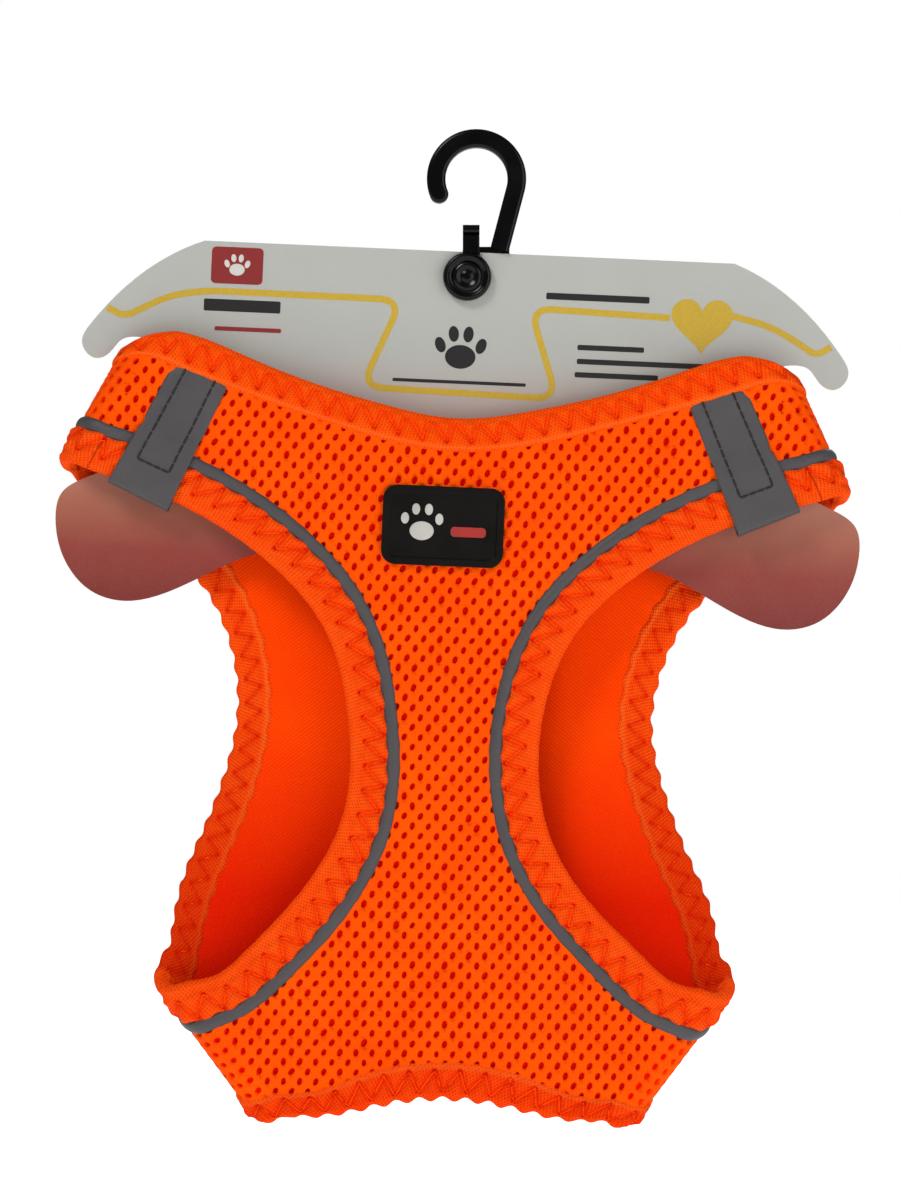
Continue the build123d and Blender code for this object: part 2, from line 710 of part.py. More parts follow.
# ---------- write every piece ----------

os.makedirs("parts", exist_ok=True)

PIECES = {
    "chest_mesh": chest_panel(-OUTER, -LINING_OUT),
    "chest_lining": chest_panel(-LINING_OUT, -INNER),
    "neck_binding": neck_binding(),
    "hem_binding": hem_binding(),
    "loop_tape": closure_tape(OUTER, OUTER + TAPE_T),
    "hook_tape": closure_tape(OUTER + TAPE_T, OVER_IN),
    "label_base": label_base(),
    "label_motif": label_motif(),
    "socket_webbing": socket_webbing(),
    "plug_webbing": plug_webbing(),
    "buckle_socket": buckle_socket(),
    "buckle_plug": buckle_plug(),
    "upper_plug_arm": plug_arm(1),
    "lower_plug_arm": plug_arm(-1),
    "hanger_card": hanger_card(),
    "hanger_hook": hanger_hook(),
    "snap_cap": snap_cap(),
}
for name, side in (("left", -1), ("right", 1)):
    PIECES[f"{name}_flap_mesh"] = flap_layer(LINING_OUT, OUTER, side)
    PIECES[f"{name}_flap_lining"] = flap_layer(INNER, LINING_OUT, side)
    PIECES[f"{name}_leg_binding"] = leg_binding(side)
    PIECES[f"{name}_leg_piping"] = piping(side)
    PIECES[f"{name}_reflective_tab"] = front_tab(side)
    PIECES[f"{name}_d_ring"] = d_ring(side)
    PIECES[f"{name}_ring_loop"] = ring_loop(side)

for name, solid in PIECES.items():
    export_step(solid, f"parts/{name}.step")
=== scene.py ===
import math

import bmesh
import bpy
import numpy as np
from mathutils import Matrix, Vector
from mathutils.bvhtree import BVHTree


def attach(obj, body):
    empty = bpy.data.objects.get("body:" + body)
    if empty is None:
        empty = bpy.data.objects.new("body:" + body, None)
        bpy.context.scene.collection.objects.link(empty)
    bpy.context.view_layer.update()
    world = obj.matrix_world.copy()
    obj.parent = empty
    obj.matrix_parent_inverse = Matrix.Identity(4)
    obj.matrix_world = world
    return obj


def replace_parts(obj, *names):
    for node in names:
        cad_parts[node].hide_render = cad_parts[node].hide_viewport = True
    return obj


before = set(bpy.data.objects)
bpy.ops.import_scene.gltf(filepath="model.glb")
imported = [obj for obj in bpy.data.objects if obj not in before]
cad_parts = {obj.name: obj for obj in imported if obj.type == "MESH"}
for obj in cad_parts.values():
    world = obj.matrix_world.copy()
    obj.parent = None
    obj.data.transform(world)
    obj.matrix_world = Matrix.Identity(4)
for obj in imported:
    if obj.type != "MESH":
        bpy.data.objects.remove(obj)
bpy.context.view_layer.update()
RANDOM = np.random.default_rng(7)

# The soft goods are drawn on the same straight pattern as the part: u across and
# v up, in millimetres, and a distance r out from the hanger card's plane. Cloth
# runs flat in front, turns round a fold at each shoulder and hip, and runs flat
# again behind. MM turns the finished points into metres.
MM = 0.001

# ---- lean of the hung cloth ----
LEAN = math.radians(2.5)
LEAN_LOW = math.radians(0.9)
LEAN_FULL_V, LEAN_LOW_V = -205.0, -228.0
CENTRE_TOP_X, CENTRE_TOP_V, CENTRE_LOW_X = -4.7, -49.0, -9.6

# ---- layers ----
INNER, LINING_OUT, OUTER = 6.0, 6.8, 9.4
MIDDLE = (INNER + OUTER) / 2
MESH_TOP = 9.15
MESH_BACK = 7.2
TAPE_TOP, TAPE_UNDER = 9.75, 5.5
PIPING_MID, PIPING_HEIGHT = 8.75, 1.35

# ---- how far cloth runs on under its tapes, and how thick its layers are drawn ----
MESH_TUCK, BACK_TUCK, LINING_TUCK = 2.2, 1.0, 2.2
BACK_THICK, LINING_THICK, TAB_THICK = 0.3, 0.55, 0.35
SHEET_CELL = 3.0

# ---- tapes ----
BINDING_W, PIPING_W = 11.0, 3.8
REAR_BINDING_W, REAR_EDGE_W = 10.0, 8.0

# ---- folds: anchor, direction, lean of the wrap, span ----
SHOULDER = {"at": (94.1, -61.3), "along": (0.455, -0.890), "lean": 0.30, "span": (-6, 35)}
SIDE = {"at": (68.5, -251.7), "along": (0.6, 0.8), "lean": 0.70, "span": (-37, 14)}
SHOULDER_NECK, SHOULDER_PIPING, SHOULDER_BINDING = (-13.5, -4.5), (19.7, 23.5), (23.5, 34.5)
SIDE_HEM, SIDE_PIPING, SIDE_BINDING = (-36.5, -28.5), (-3.2, 1.0), (1.0, 13.5)
FOLD_SPLIT_V = -165.0
WRAP = math.pi * MIDDLE

# ---- gathering of the neck's cloth at the shoulder: how much, over which stretch ----
GATHER_MOST, GATHER_POWER = 12.5, 1.6
GATHER_TOP, GATHER_END, GATHER_REACH = -13.5, 12.0, 18.0

# ---- pattern outlines of the right half ----
NECK_TOP = [(0, -72.2), (22, -69.0), (45, -63.0), (66, -55.5), (80, -50.6)]
NECK_LOW = [(0, -82.0), (22, -79.3), (45, -73.2), (66, -66.8), (82, -61.4)]
LEG_LINE = [
    (98, -84.0), (81.5, -89.6), (66, -96.8), (50, -107), (36, -119.5), (26, -133.5),
    (20, -150), (17.3, -168), (17.6, -184), (21.5, -200), (29.5, -215), (41, -229),
    (53, -241), (62, -248.2),
]
HEM_TOP = [(0, -264.4), (18, -266.4), (28, -269.7), (38, -273.3)]
HEM_LOW = [(0, -275.0), (18, -277.0), (28, -279.3), (38, -280.9)]
REAR_LEG_EDGE = [
    (95, -109.5), (77.5, -122), (69, -134), (64, -148), (62.5, -162), (66, -180),
    (73.5, -200), (79.5, -214),
]
REAR_NECK_TOP = [(84, -74), (60, -83), (30, -86)]
REAR_HEM_LOW = [(45, -252), (30, -244), (14, -240)]

# ---- overlap of the rear flaps, and the strap over it ----
FLAP_END = -17.0
FLAP_END_TAPE = (6.2, -0.9)
FLAP_END_SPAN = (-92.0, -160.0, -233.0)
FLAP_MESH_GAP = 2.6
RAMP_START, RAMP_END, RISE = 36.0, 19.0, 5.4
STRAP_V, STRAP_CALM = -166.0, 22.0
RIPPLE = 0.32

# ---- zigzag stitch: tooth length, share of its steep side, and (low, high, lip) across a tape ----
ZIG, ZIG_STEEP = 7.3, 0.3
LEG_STITCH, LEG_INSIDE = (1.1, 6.6, 10.2), (3.2, 8.2, 1.2)
NECK_STITCH, HEM_STITCH, FLAP_END_STITCH = (2.3, 7.6, 0.7), (1.6, 6.4, 0.5), (1.5, 4.9, 0.5)
THREAD_R, THREAD_SINK, THREAD_ARCH = 0.2, 0.62, 0.42

# ---- relief of a sewn tape ----
PUFF, PUFF_REACH, STITCH_MARGIN = 1.0, 1.6, 1.2
GROOVE_DEPTH, GROOVE_W = 0.16, 0.55
PIT_DEPTH, PIT_W = 0.75, 0.62
LIP_HEIGHT, LIP_W = 0.36, 0.62
SHADE_W = 1.2
REAR_FLATTER = 0.72
EDGE_ROLL, EDGE_DROP, EDGE_DROP_W = 1.7, 0.7, 0.55
MESH_SIDE_REACH, FREE_SIDE_REACH = 1.3, 2.2

# ---- air mesh: cells, holes, and (size, depth, painted light level) of the rings down a hole, painted shade darkening the walls downwards ----
CELL_W, CELL_H = 4.8, 2.94
HOLE_A, HOLE_B, HOLE_SLANT = 0.76, 1.12, -0.32
HOLE_RINGS = ((1.34, 0.0, 1.0), (1.0, -0.38, 0.7), (0.92, -1.7, 0.1))
CELL_RIM_RISE = 0.10

# ---- pieces on the card and chest ----
TAB_CORNERS = [(68.4, -64.8), (85.2, -59.6), (102.6, -94.6), (84.7, -102.6)]
TAB_W, TAB_LENGTH, TAB_TUCK = 19.0, 35.0, 36.0
TAB_RISE, TAB_UNDER, TAB_LIP = 1.5, 4.6, 1.3
TAB_TURN_END, TAB_END = 1.12, 1.3
CARD_FRONT_Y = -0.3
SNAP_AT = (-2.8, -29.4)
SNAP_BACK_Y = -0.4
SNAP_PROFILE = [
    (0.0, -3.1), (1.2, -3.05), (2.0, -2.6), (2.5, -2.85), (3.4, -3.2), (4.2, -2.85), (4.7, -2.3),
    (5.2, -2.5), (6.0, -3.1), (6.8, -2.9), (7.2, -2.2), (7.3, -0.3), (7.1, 0.0), (3.0, 0.0),
    (3.0, -2.1), (0.0, -2.1),
]
SNAP_STRAP = (-4.1, 0.9, -25.2, -17.1)
SNAP_STRAP_FLARE, SNAP_STRAP_THICK = 0.5, 1.6
LABEL_MIDDLE_X = -0.0045
MOULDED_EDGE, PRINT_EDGE = 0.35, 0.15
INK_STEP, INK_SUNK = 0.03, 0.02
SEWN_BOX = {"near": 29.0, "far": 36.5, "half": 7}


# ---------- pattern geometry ----------

def columns(*values):
    """Values side by side along a new last axis."""
    return np.stack(values, -1)


def circle(count):
    """Evenly spaced angles once round."""
    return np.linspace(0, 2 * math.pi, count, endpoint=False)


def facing(count, way):
    """Normals that all face back (way 1) or front (way -1)."""
    return np.tile([0.0, way, 0.0], (count, 1))


def ease(share):
    """A smooth step from 0 to 1 over a share that is clipped to the same range."""
    share = np.clip(share, 0, 1)
    return share * share * (3 - 2 * share)


def sway(u, v):
    """Pattern points to (x, z) columns, as the part leans them."""
    u, v = np.asarray(u, float), np.asarray(v, float)
    share = np.clip((v - LEAN_LOW_V) / (LEAN_FULL_V - LEAN_LOW_V), 0, 1)
    turn = LEAN_LOW + (LEAN - LEAN_LOW) * share
    centre = CENTRE_TOP_X + math.tan(LEAN) * (v - CENTRE_TOP_V)
    centre = np.maximum(centre, CENTRE_LOW_X)
    return columns(centre + u * np.cos(turn), v - u * np.sin(turn))


def evenly(points, count):
    """Points spaced evenly along a line of points."""
    points = np.asarray(points, float)
    far = np.r_[0, np.cumsum(np.linalg.norm(np.diff(points, axis=0), axis=1))]
    want = np.linspace(0, far[-1], count)
    return np.stack([np.interp(want, far, points[:, k]) for k in range(points.shape[1])], -1)


def curve_through(points, count):
    """A natural cubic spline through pattern points, as evenly spaced points."""
    p = np.asarray(points, float)
    t = np.r_[0, np.cumsum(np.linalg.norm(np.diff(p, axis=0), axis=1))]
    h = np.diff(t)
    n = len(p)
    system = np.eye(n)
    right = np.zeros_like(p)
    for i in range(1, n - 1):
        system[i, i - 1:i + 2] = h[i - 1], 2 * (h[i - 1] + h[i]), h[i]
        right[i] = 6 * ((p[i + 1] - p[i]) / h[i] - (p[i] - p[i - 1]) / h[i - 1])
    bend = np.linalg.solve(system, right)
    fine = np.linspace(0, t[-1], 40 * n)
    k = np.clip(np.searchsorted(t, fine, side="right") - 1, 0, n - 2)
    a, b, hk = (t[k + 1] - fine)[:, None], (fine - t[k])[:, None], h[k][:, None]
    line = (bend[k] * a ** 3 + bend[k + 1] * b ** 3) / (6 * hk)
    line += (p[k] / hk - bend[k] * hk / 6) * a + (p[k + 1] / hk - bend[k + 1] * hk / 6) * b
    return evenly(line, count)


def shifted(points, distance):
    """Points moved square to the line through them, to its left when positive."""
    p = np.asarray(points, float)
    ahead = p[np.minimum(np.arange(len(p)) + 1, len(p) - 1)]
    behind = p[np.maximum(np.arange(len(p)) - 1, 0)]
    way = ahead - behind
    way /= np.linalg.norm(way, axis=1, keepdims=True)
    return p + distance * columns(-way[:, 1], way[:, 0])


def on_fold(fold, s):
    """The pattern point at a distance along a fold line."""
    return (fold["at"][0] + s * fold["along"][0], fold["at"][1] + s * fold["along"][1])


def gather(fold, s):
    """How far the cloth near the neck slips down as it turns over the shoulder."""
    share = np.clip((GATHER_END - np.asarray(s, float)) / (GATHER_END - GATHER_TOP), 0, 1.1)
    return GATHER_MOST * share ** GATHER_POWER * (1.0 if fold is SHOULDER else 0.0)


def rear_s(fold, s):
    """Where cloth that meets a fold at s in front lies along it behind."""
    return s + 2 * fold["lean"] * MIDDLE + gather(fold, s)


def leg_front(distance, shoulder_s, side_s):
    """A line beside the front leg edge, from the shoulder fold to the side fold."""
    line = shifted(LEG_LINE, distance)
    return np.vstack([on_fold(SHOULDER, shoulder_s), line, on_fold(SIDE, side_s)])


def leg_rear(distance, shoulder_s, side_s):
    """A line beside the rear leg edge, from the shoulder fold to the side fold."""
    first = on_fold(SHOULDER, rear_s(SHOULDER, shoulder_s))
    last = on_fold(SIDE, rear_s(SIDE, side_s))
    return np.vstack([first, shifted(REAR_LEG_EDGE, distance), last])


FRONT_HOLE = leg_front(BINDING_W, SHOULDER_BINDING[1], SIDE_BINDING[1])
FRONT_LINE = leg_front(0.0, SHOULDER_BINDING[0], SIDE_BINDING[0])
FRONT_PIPING = leg_front(-PIPING_W, SHOULDER_PIPING[0], SIDE_PIPING[0])
REAR_HOLE = leg_rear(0.0, SHOULDER_BINDING[1], SIDE_BINDING[1])
REAR_LINE = leg_rear(-REAR_BINDING_W, SHOULDER_BINDING[0], SIDE_BINDING[0])
REAR_PIPING = leg_rear(-REAR_BINDING_W - PIPING_W, SHOULDER_PIPING[0], SIDE_PIPING[0])


def rear_line(points, fold, fold_s, distance):
    """A rear neck or hem line from its fold to the flap's end."""
    middle = shifted(points, distance)
    return np.vstack([on_fold(fold, rear_s(fold, fold_s)), middle, (FLAP_END, middle[-1][1])])


def fold_frame(fold, side):
    """World start, direction, outward direction and stretch of a fold line."""
    first, last = fold["span"]
    ends = np.array([on_fold(fold, first), on_fold(fold, last)])
    top, base = sway(side * ends[:, 0], ends[:, 1])
    along = (base - top) / np.linalg.norm(base - top)
    out = np.array([-along[1], along[0]])
    out *= math.copysign(1, out[0] * side)
    return top, along, out, np.linalg.norm(base - top) / (last - first)


def wrapped(fold, side, s, turn):
    """World base points and normals where cloth turns round a fold by an angle."""
    top, along, out, stretch = fold_frame(fold, side)
    s, turn = np.broadcast_arrays(np.asarray(s, float), np.asarray(turn, float))
    run = (s - fold["span"][0]) * stretch + fold["lean"] * MIDDLE * (1 - np.cos(turn))
    run = run + gather(fold, s) * np.sin(np.minimum(turn, math.pi / 2)) ** 2
    base = top + run[..., None] * along
    sine = np.sin(turn)
    return base, columns(out[0] * sine, -np.cos(turn), out[1] * sine)


def lift(u):
    """How far the upper flap steps out over the lower one."""
    return RISE * ease((RAMP_START - u) / (RAMP_START - RAMP_END))


def ripple(base, normal):
    """Slight unevenness of the hung cloth, none on the folds or under the strap."""
    x, z = base[..., 0], base[..., 1]
    wave = np.sin(0.061 * x + 0.9) * np.cos(0.047 * z + 0.4) + 0.5 * np.sin(0.11 * z - 0.05 * x)
    calm = np.where(normal[..., 1] > 0, 1 - np.exp(-((z - STRAP_V) / STRAP_CALM) ** 2), 1.0)
    return RIPPLE * wave * calm * normal[..., 1] ** 2


def lay(base, normal, r):
    """World points in metres at distance r from the card's plane."""
    r = r + ripple(base, normal)
    flat = columns(base[..., 0], np.zeros(base.shape[:-1]), base[..., 1])
    return (flat + normal * r[..., None]) * MM


# ---------- mesh helpers ----------

def add_object(name, data):
    made = bpy.data.objects.new(name, data)
    bpy.context.scene.collection.objects.link(made)
    return made


def new_piece(name, verts, faces, material, body, slot, smooth=True, **attributes):
    """A mesh object that rides on a body, with any point attributes it is given."""
    mesh = bpy.data.meshes.new(name)
    mesh.from_pydata([tuple(p) for p in np.asarray(verts).tolist()], [], faces)
    for key, values in attributes.items():
        values = np.asarray(values, float)
        kind, field = ("FLOAT_VECTOR", "vector") if values.ndim == 2 else ("FLOAT", "value")
        mesh.attributes.new(key, kind, "POINT").data.foreach_set(field, values.ravel())
    mesh.validate()
    mesh.update()
    if smooth:
        mesh.polygons.foreach_set("use_smooth", [True] * len(mesh.polygons))
    mesh.materials.append(material)
    piece = add_object(name, mesh)
    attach(piece, body)
    return piece


def outward(piece):
    """Turns the faces of a closed mesh to face out."""
    work = bmesh.new()
    work.from_mesh(piece.data)
    bmesh.ops.recalc_face_normals(work, faces=work.faces)
    work.to_mesh(piece.data)
    work.free()
    return piece


def grid_faces(rows, count):
    """Quads over a grid of points, count to a row."""
    return [
        (i * count + k, i * count + k + 1, (i + 1) * count + k + 1, (i + 1) * count + k)
        for i in range(rows - 1) for k in range(count - 1)
    ]


def loft_faces(rings, around, closed_length, start=0):
    """Quads over rings of points, with end caps where the length is open."""
    faces = []
    last = rings if closed_length else rings - 1
    for i in range(last):
        a, b = start + i * around, start + ((i + 1) % rings) * around
        faces += [(a + k, a + (k + 1) % around, b + (k + 1) % around, b + k) for k in range(around)]
    if not closed_length:
        faces.append(tuple(start + k for k in range(around))[::-1])
        faces.append(tuple(start + (rings - 1) * around + k for k in range(around)))
    return faces


def tube_mesh(paths, radius):
    """Vertices and faces of round threads along lists of points, in metres."""
    sides = 6
    verts, faces = [], []
    for path, closed in paths:
        path = np.asarray(path)
        if closed:
            way = np.roll(path, -1, 0) - np.roll(path, 1, 0)
        else:
            way = np.gradient(path, axis=0)
        way /= np.linalg.norm(way, axis=1, keepdims=True) + 1e-12
        across = np.cross(way, (0.13, 1.0, 0.07))
        across /= np.linalg.norm(across, axis=1, keepdims=True) + 1e-12
        up = np.cross(across, way)
        turn = circle(sides)
        ring = across[:, None] * np.cos(turn)[:, None] + up[:, None] * np.sin(turn)[:, None]
        points = path[:, None] + radius * ring
        faces += loft_faces(len(path), sides, closed, sum(len(v) for v in verts))
        verts.append(points.reshape(-1, 3))
    return np.vstack(verts), faces


def thread_piece(name, paths, radius, material, slot, body="harness"):
    """Sewn threads as one piece."""
    verts, faces = tube_mesh(paths, radius)
    return outward(new_piece(name, verts, faces, material, body, slot))


def soften(values, reach, closed):
    """Evens out a row of values by a small bell-shaped average."""
    weight = np.exp(-0.5 * (np.arange(-2 * reach, 2 * reach + 1) / reach) ** 2)
    weight /= weight.sum()
    pad = 2 * reach
    padding = [(pad, pad)] + [(0, 0)] * (values.ndim - 1)
    ends = {"mode": "wrap"} if closed else {"mode": "reflect", "reflect_type": "odd"}
    wide = np.pad(values, padding, **ends)
    return sum(w * wide[k:k + len(values)] for k, w in enumerate(weight))


# ---------- materials ----------

class Nodes:
    """A short way to wire one material's nodes."""

    def __init__(self, name):
        self.material = bpy.data.materials.new(name)
        self.material.use_nodes = True
        self.tree = self.material.node_tree
        self.shader = self.tree.nodes["Principled BSDF"]

    def add(self, kind, settings=None, **inputs):
        """A node with its inputs set by name, or by number as i0, i1 and so on."""
        node = self.tree.nodes.new("ShaderNode" + kind)
        for key, value in (settings or {}).items():
            setattr(node, key, value)
        for key, value in inputs.items():
            name = int(key[1:]) if key[1:].isdigit() else key.replace("_", " ")
            self.put(node.inputs[name], value)
        return node

    def put(self, socket, value):
        if isinstance(value, bpy.types.NodeSocket):
            self.tree.links.new(value, socket)
        else:
            socket.default_value = value

    def math(self, operation, a, b=0.0):
        return self.add("Math", {"operation": operation}, i0=a, i1=b).outputs[0]

    def times(self, a, b):
        return self.math("MULTIPLY", a, b)

    def plus(self, a, b):
        return self.math("ADD", a, b)

    def mix(self, share, a, b):
        """Mixes two colours: sockets, linear colours of four values or display ones of three."""
        node = self.add("Mix", {"data_type": "RGBA"})
        self.put(node.inputs[0], share)
        for socket, value in zip((node.inputs[6], node.inputs[7]), (a, b)):
            if not isinstance(value, bpy.types.NodeSocket) and len(value) == 3:
                value = srgb(*value)
            self.put(socket, value)
        return node.outputs[2]

    def noise(self, vector, scale, detail=3.0):
        node = self.add("TexNoise", Scale=scale, Detail=detail, Roughness=0.5)
        self.put(node.inputs["Vector"], vector)
        return node.outputs[0]

    def cells(self, vector, scale):
        return self.add("TexVoronoi", Scale=scale, Vector=vector).outputs["Distance"]

    def stretch(self, value, low, high, to_low=0.0, to_high=1.0):
        return self.add("MapRange", i0=value, i1=low, i2=high, i3=to_low, i4=to_high).outputs[0]

    def gloss(self, patch, low, high):
        """Roughness that changes from low to high over a noise."""
        return self.stretch(patch, 0.3, 0.7, low, high)

    def sine(self, value, period):
        """A wave from 0 to 1 with a period in the value's own units."""
        angle = self.times(value, 2 * math.pi / period)
        return self.times(self.plus(self.math("SINE", angle), 1.0), 0.5)

    def place(self):
        """Object coordinates, in metres."""
        return self.add("TexCoord").outputs["Object"]

    def field(self, name, output="Fac"):
        """A point attribute of the piece."""
        return self.add("Attribute", {"attribute_name": name}).outputs[output]

    def split(self, vector):
        return self.add("SeparateXYZ", Vector=vector).outputs

    def bump(self, height, distance, strength=1.0):
        return self.add("Bump", Strength=strength, Distance=distance, Height=height).outputs[0]

    def done(self, colour, roughness, normal=None, **settings):
        self.put(self.shader.inputs["Base Color"], colour)
        self.put(self.shader.inputs["Roughness"], roughness)
        if normal is not None:
            self.put(self.shader.inputs["Normal"], normal)
        for key, value in settings.items():
            self.shader.inputs[key.replace("_", " ")].default_value = value
        return self.material


def srgb(r, g, b):
    """A display colour from 0 to 255 as a linear colour."""
    def line(c):
        c = c / 255
        return c / 12.92 if c <= 0.04045 else ((c + 0.055) / 1.055) ** 2.4
    return (line(r), line(g), line(b), 1.0)


FABRIC = {"Specular_IOR_Level": 0.03}


def mesh_material():
    """Knitted air mesh: bright knit ribs on top, with painted shade darkening down the holes."""
    g = Nodes("air_mesh_knit")
    cloth = g.field("cloth", "Vector")
    tone = g.field("tone")
    u, v, _ = g.split(cloth)
    stitch = g.times(g.sine(u, 0.8), g.sine(v, 0.62))
    patch = g.noise(cloth, 0.06, 2)
    fuzz = g.noise(cloth, 2.4, 3)
    top = g.mix(patch, (250, 66, 0), (255, 92, 2))
    top = g.mix(g.times(g.stretch(fuzz, 0.45, 0.8), 0.35), top, (255, 116, 30))
    top = g.mix(g.times(stitch, 0.16), top, (214, 36, 0))
    # painted shade: the hole walls darken downwards to deep red, by each ring's painted light level
    colour = g.mix(tone, (246, 20, 0), top)
    height = g.plus(g.times(stitch, -0.6), g.times(fuzz, 0.7))
    return g.done(colour, 0.88, g.bump(height, 0.00018, 0.7), **FABRIC)


def backing_material():
    """The knit's inner face, seen only down the holes."""
    g = Nodes("air_mesh_back")
    place = g.place()
    colour = g.mix(g.noise(place, 900), (250, 14, 0), (255, 40, 0))
    return g.done(colour, 0.9, g.bump(g.noise(place, 2500), 0.0002), **FABRIC)


def tape_material(name, main, beads_and_painted_shade, pale):
    """Knitted elastic tape: slanting rows of fine beads, with painted shade in the stitched grooves.

    The inner face of the rear tapes has painted shade, darker downwards, where little light gets in."""
    g = Nodes(name)
    cloth = g.field("cloth", "Vector")
    tone = g.field("tone")
    lip = g.field("lip")
    along, across, _ = g.split(cloth)
    slanted = g.plus(across, g.times(along, 0.55))
    ribs = g.sine(slanted, 0.86)
    rows = g.math("SUBTRACT", along, g.times(across, 0.3))
    beads = g.times(g.sine(rows, 1.02), ribs)
    patch = g.noise(cloth, 0.12, 3)
    fuzz = g.noise(cloth, 3.0, 2)
    colour = g.mix(patch, main, pale)
    colour = g.mix(g.times(beads, 0.6), colour, beads_and_painted_shade)
    colour = g.mix(g.times(g.stretch(fuzz, 0.5, 0.85), 0.3), colour, pale)
    colour = g.mix(g.times(lip, 0.55), colour, (255, 108, 34))
    # painted shade in the stitched grooves and needle pits
    colour = g.mix(tone, beads_and_painted_shade, colour)
    # painted shade: the inner face of the rear tapes darkens towards the bottom
    _, depth, level = g.split(g.place())
    inner = g.times(g.stretch(depth, 0.002, 0.004), g.stretch(depth, 0.0088, 0.0078))
    inner = g.times(inner, g.stretch(level, -0.15, -0.225))
    colour = g.mix(g.times(inner, 0.6), colour, (196, 16, 0))
    height = g.plus(g.times(beads, -0.9), g.times(fuzz, 0.5))
    return g.done(colour, 0.85, g.bump(height, 0.00036, 0.85), **FABRIC)


def lining_material():
    """Fine twill: steep diagonal lines in the weave, and painted shade darkening its lower part."""
    g = Nodes("twill_lining")
    cloth = g.field("cloth", "Vector")
    u, v, _ = g.split(cloth)
    slant = g.plus(g.times(u, 0.8), v)
    twill = g.sine(slant, 1.15)
    patch = g.noise(cloth, 0.05, 3)
    colour = g.mix(patch, (252, 62, 0), (255, 78, 0))
    # painted shade: the lining darkens towards the bottom of the leg holes
    low = g.stretch(v, -165.0, -216.0)
    colour = g.mix(g.times(low, 0.85), colour, (212, 12, 0))
    colour = g.mix(g.times(twill, 0.4), colour, (222, 26, 0))
    height = g.plus(g.times(twill, 0.7), g.times(g.noise(cloth, 2.0), 0.4))
    return g.done(colour, 0.8, g.bump(height, 0.00012, 0.7), **FABRIC)


def reflective_material():
    """Grey reflective cloth: fine glass beads and a soft satin shine."""
    g = Nodes("reflective_grey")
    place = g.place()
    beads = g.cells(place, 3400.0)
    patch = g.noise(place, 60, 3)
    colour = g.mix(patch, (68, 66, 68), (85, 82, 84))
    colour = g.mix(g.times(beads, 0.4), colour, (60, 57, 60))
    rough = g.gloss(patch, 0.42, 0.6)
    height = g.plus(g.times(beads, -0.6), g.times(g.noise(place, 180), 1.0))
    return g.done(colour, rough, g.bump(height, 0.0002, 0.5), Metallic=0.1, Specular_IOR_Level=0.3)


def webbing_material():
    """Woven polyester webbing: crossing ribs."""
    g = Nodes("woven_webbing")
    place = g.place()
    x, y, z = g.split(place)
    warp, weft = g.sine(z, 0.0016), g.sine(g.plus(x, y), 0.0012)
    cross = g.times(warp, weft)
    colour = g.mix(g.noise(place, 300), (240, 66, 6), (252, 90, 18))
    colour = g.mix(g.stretch(cross, 0.0, 0.35), (206, 36, 0), colour)
    return g.done(colour, 0.75, g.bump(cross, 0.0003, 0.9), **FABRIC)


def pile_material():
    """Hook-and-loop pile: dense short loops."""
    g = Nodes("closure_pile")
    place = g.place()
    loops = g.cells(place, 1400.0)
    colour = g.mix(loops, (236, 60, 8), (150, 18, 0))
    return g.done(colour, 0.95, g.bump(loops, -0.0004), **FABRIC)


def plastic_material(name, colour, rough_low, rough_high, grain, depth, **settings):
    """Moulded plastic with a fine grain and small changes of gloss."""
    g = Nodes(name)
    place = g.place()
    patch = g.noise(place, 120, 4)
    base = g.mix(patch, colour, [c * 1.3 + 3 for c in colour])
    rough = g.gloss(patch, rough_low, rough_high)
    return g.done(base, rough, g.bump(g.noise(place, grain, 2), depth, 0.6), **settings)


def metal_material():
    """Nickel-plated steel with faint polishing marks."""
    g = Nodes("nickel_plate")
    place = g.place()
    marks = g.noise(g.add("Mapping", Vector=place, Scale=(40, 40, 900)).outputs[0], 3, 4)
    colour = g.mix(marks, (0.62, 0.62, 0.63, 1), (0.78, 0.77, 0.75, 1))
    rough = g.gloss(marks, 0.16, 0.3)
    return g.done(colour, rough, g.bump(marks, 0.00003), Metallic=1.0)


def card_material():
    """Coated board: pale grey above, a brown fade printed down the lobes."""
    g = Nodes("printed_card")
    place = g.place()
    x, _, z = g.split(place)
    v = g.times(g.plus(z, g.times(x, math.sin(LEAN))), 1000.0)
    fade = g.stretch(v, -40.0, -132.0)
    ramp = g.add("ValToRGB", Fac=fade)
    stops = [
        (0.0, (172, 174, 168)), (0.16, (170, 171, 165)), (0.30, (174, 162, 154)),
        (0.46, (182, 136, 118)), (0.66, (160, 94, 72)), (0.82, (136, 52, 42)),
        (1.0, (116, 34, 28)),
    ]
    band = ramp.color_ramp
    while len(band.elements) < len(stops):
        band.elements.new(0.5)
    for element, (at, colour) in zip(band.elements, stops):
        element.position = at
        element.color = srgb(*colour)
    speck = g.noise(place, 2500, 2)
    specks = g.times(g.stretch(speck, 0.55, 0.8), 0.12)
    colour = g.mix(specks, ramp.outputs[0], (150, 146, 140))
    rough = g.gloss(g.noise(place, 90), 0.3, 0.42)
    return g.done(colour, rough, g.bump(speck, 0.00002), Coat_Weight=0.3, Coat_Roughness=0.2)


def ink_material(name, colour):
    """A printed ink film with slight mottling."""
    g = Nodes(name)
    place = g.place()
    patch = g.noise(place, 1800, 3)
    dark = [c * 0.86 for c in colour]
    return g.done(g.mix(patch, colour, dark), 0.4, g.bump(patch, 0.00001))


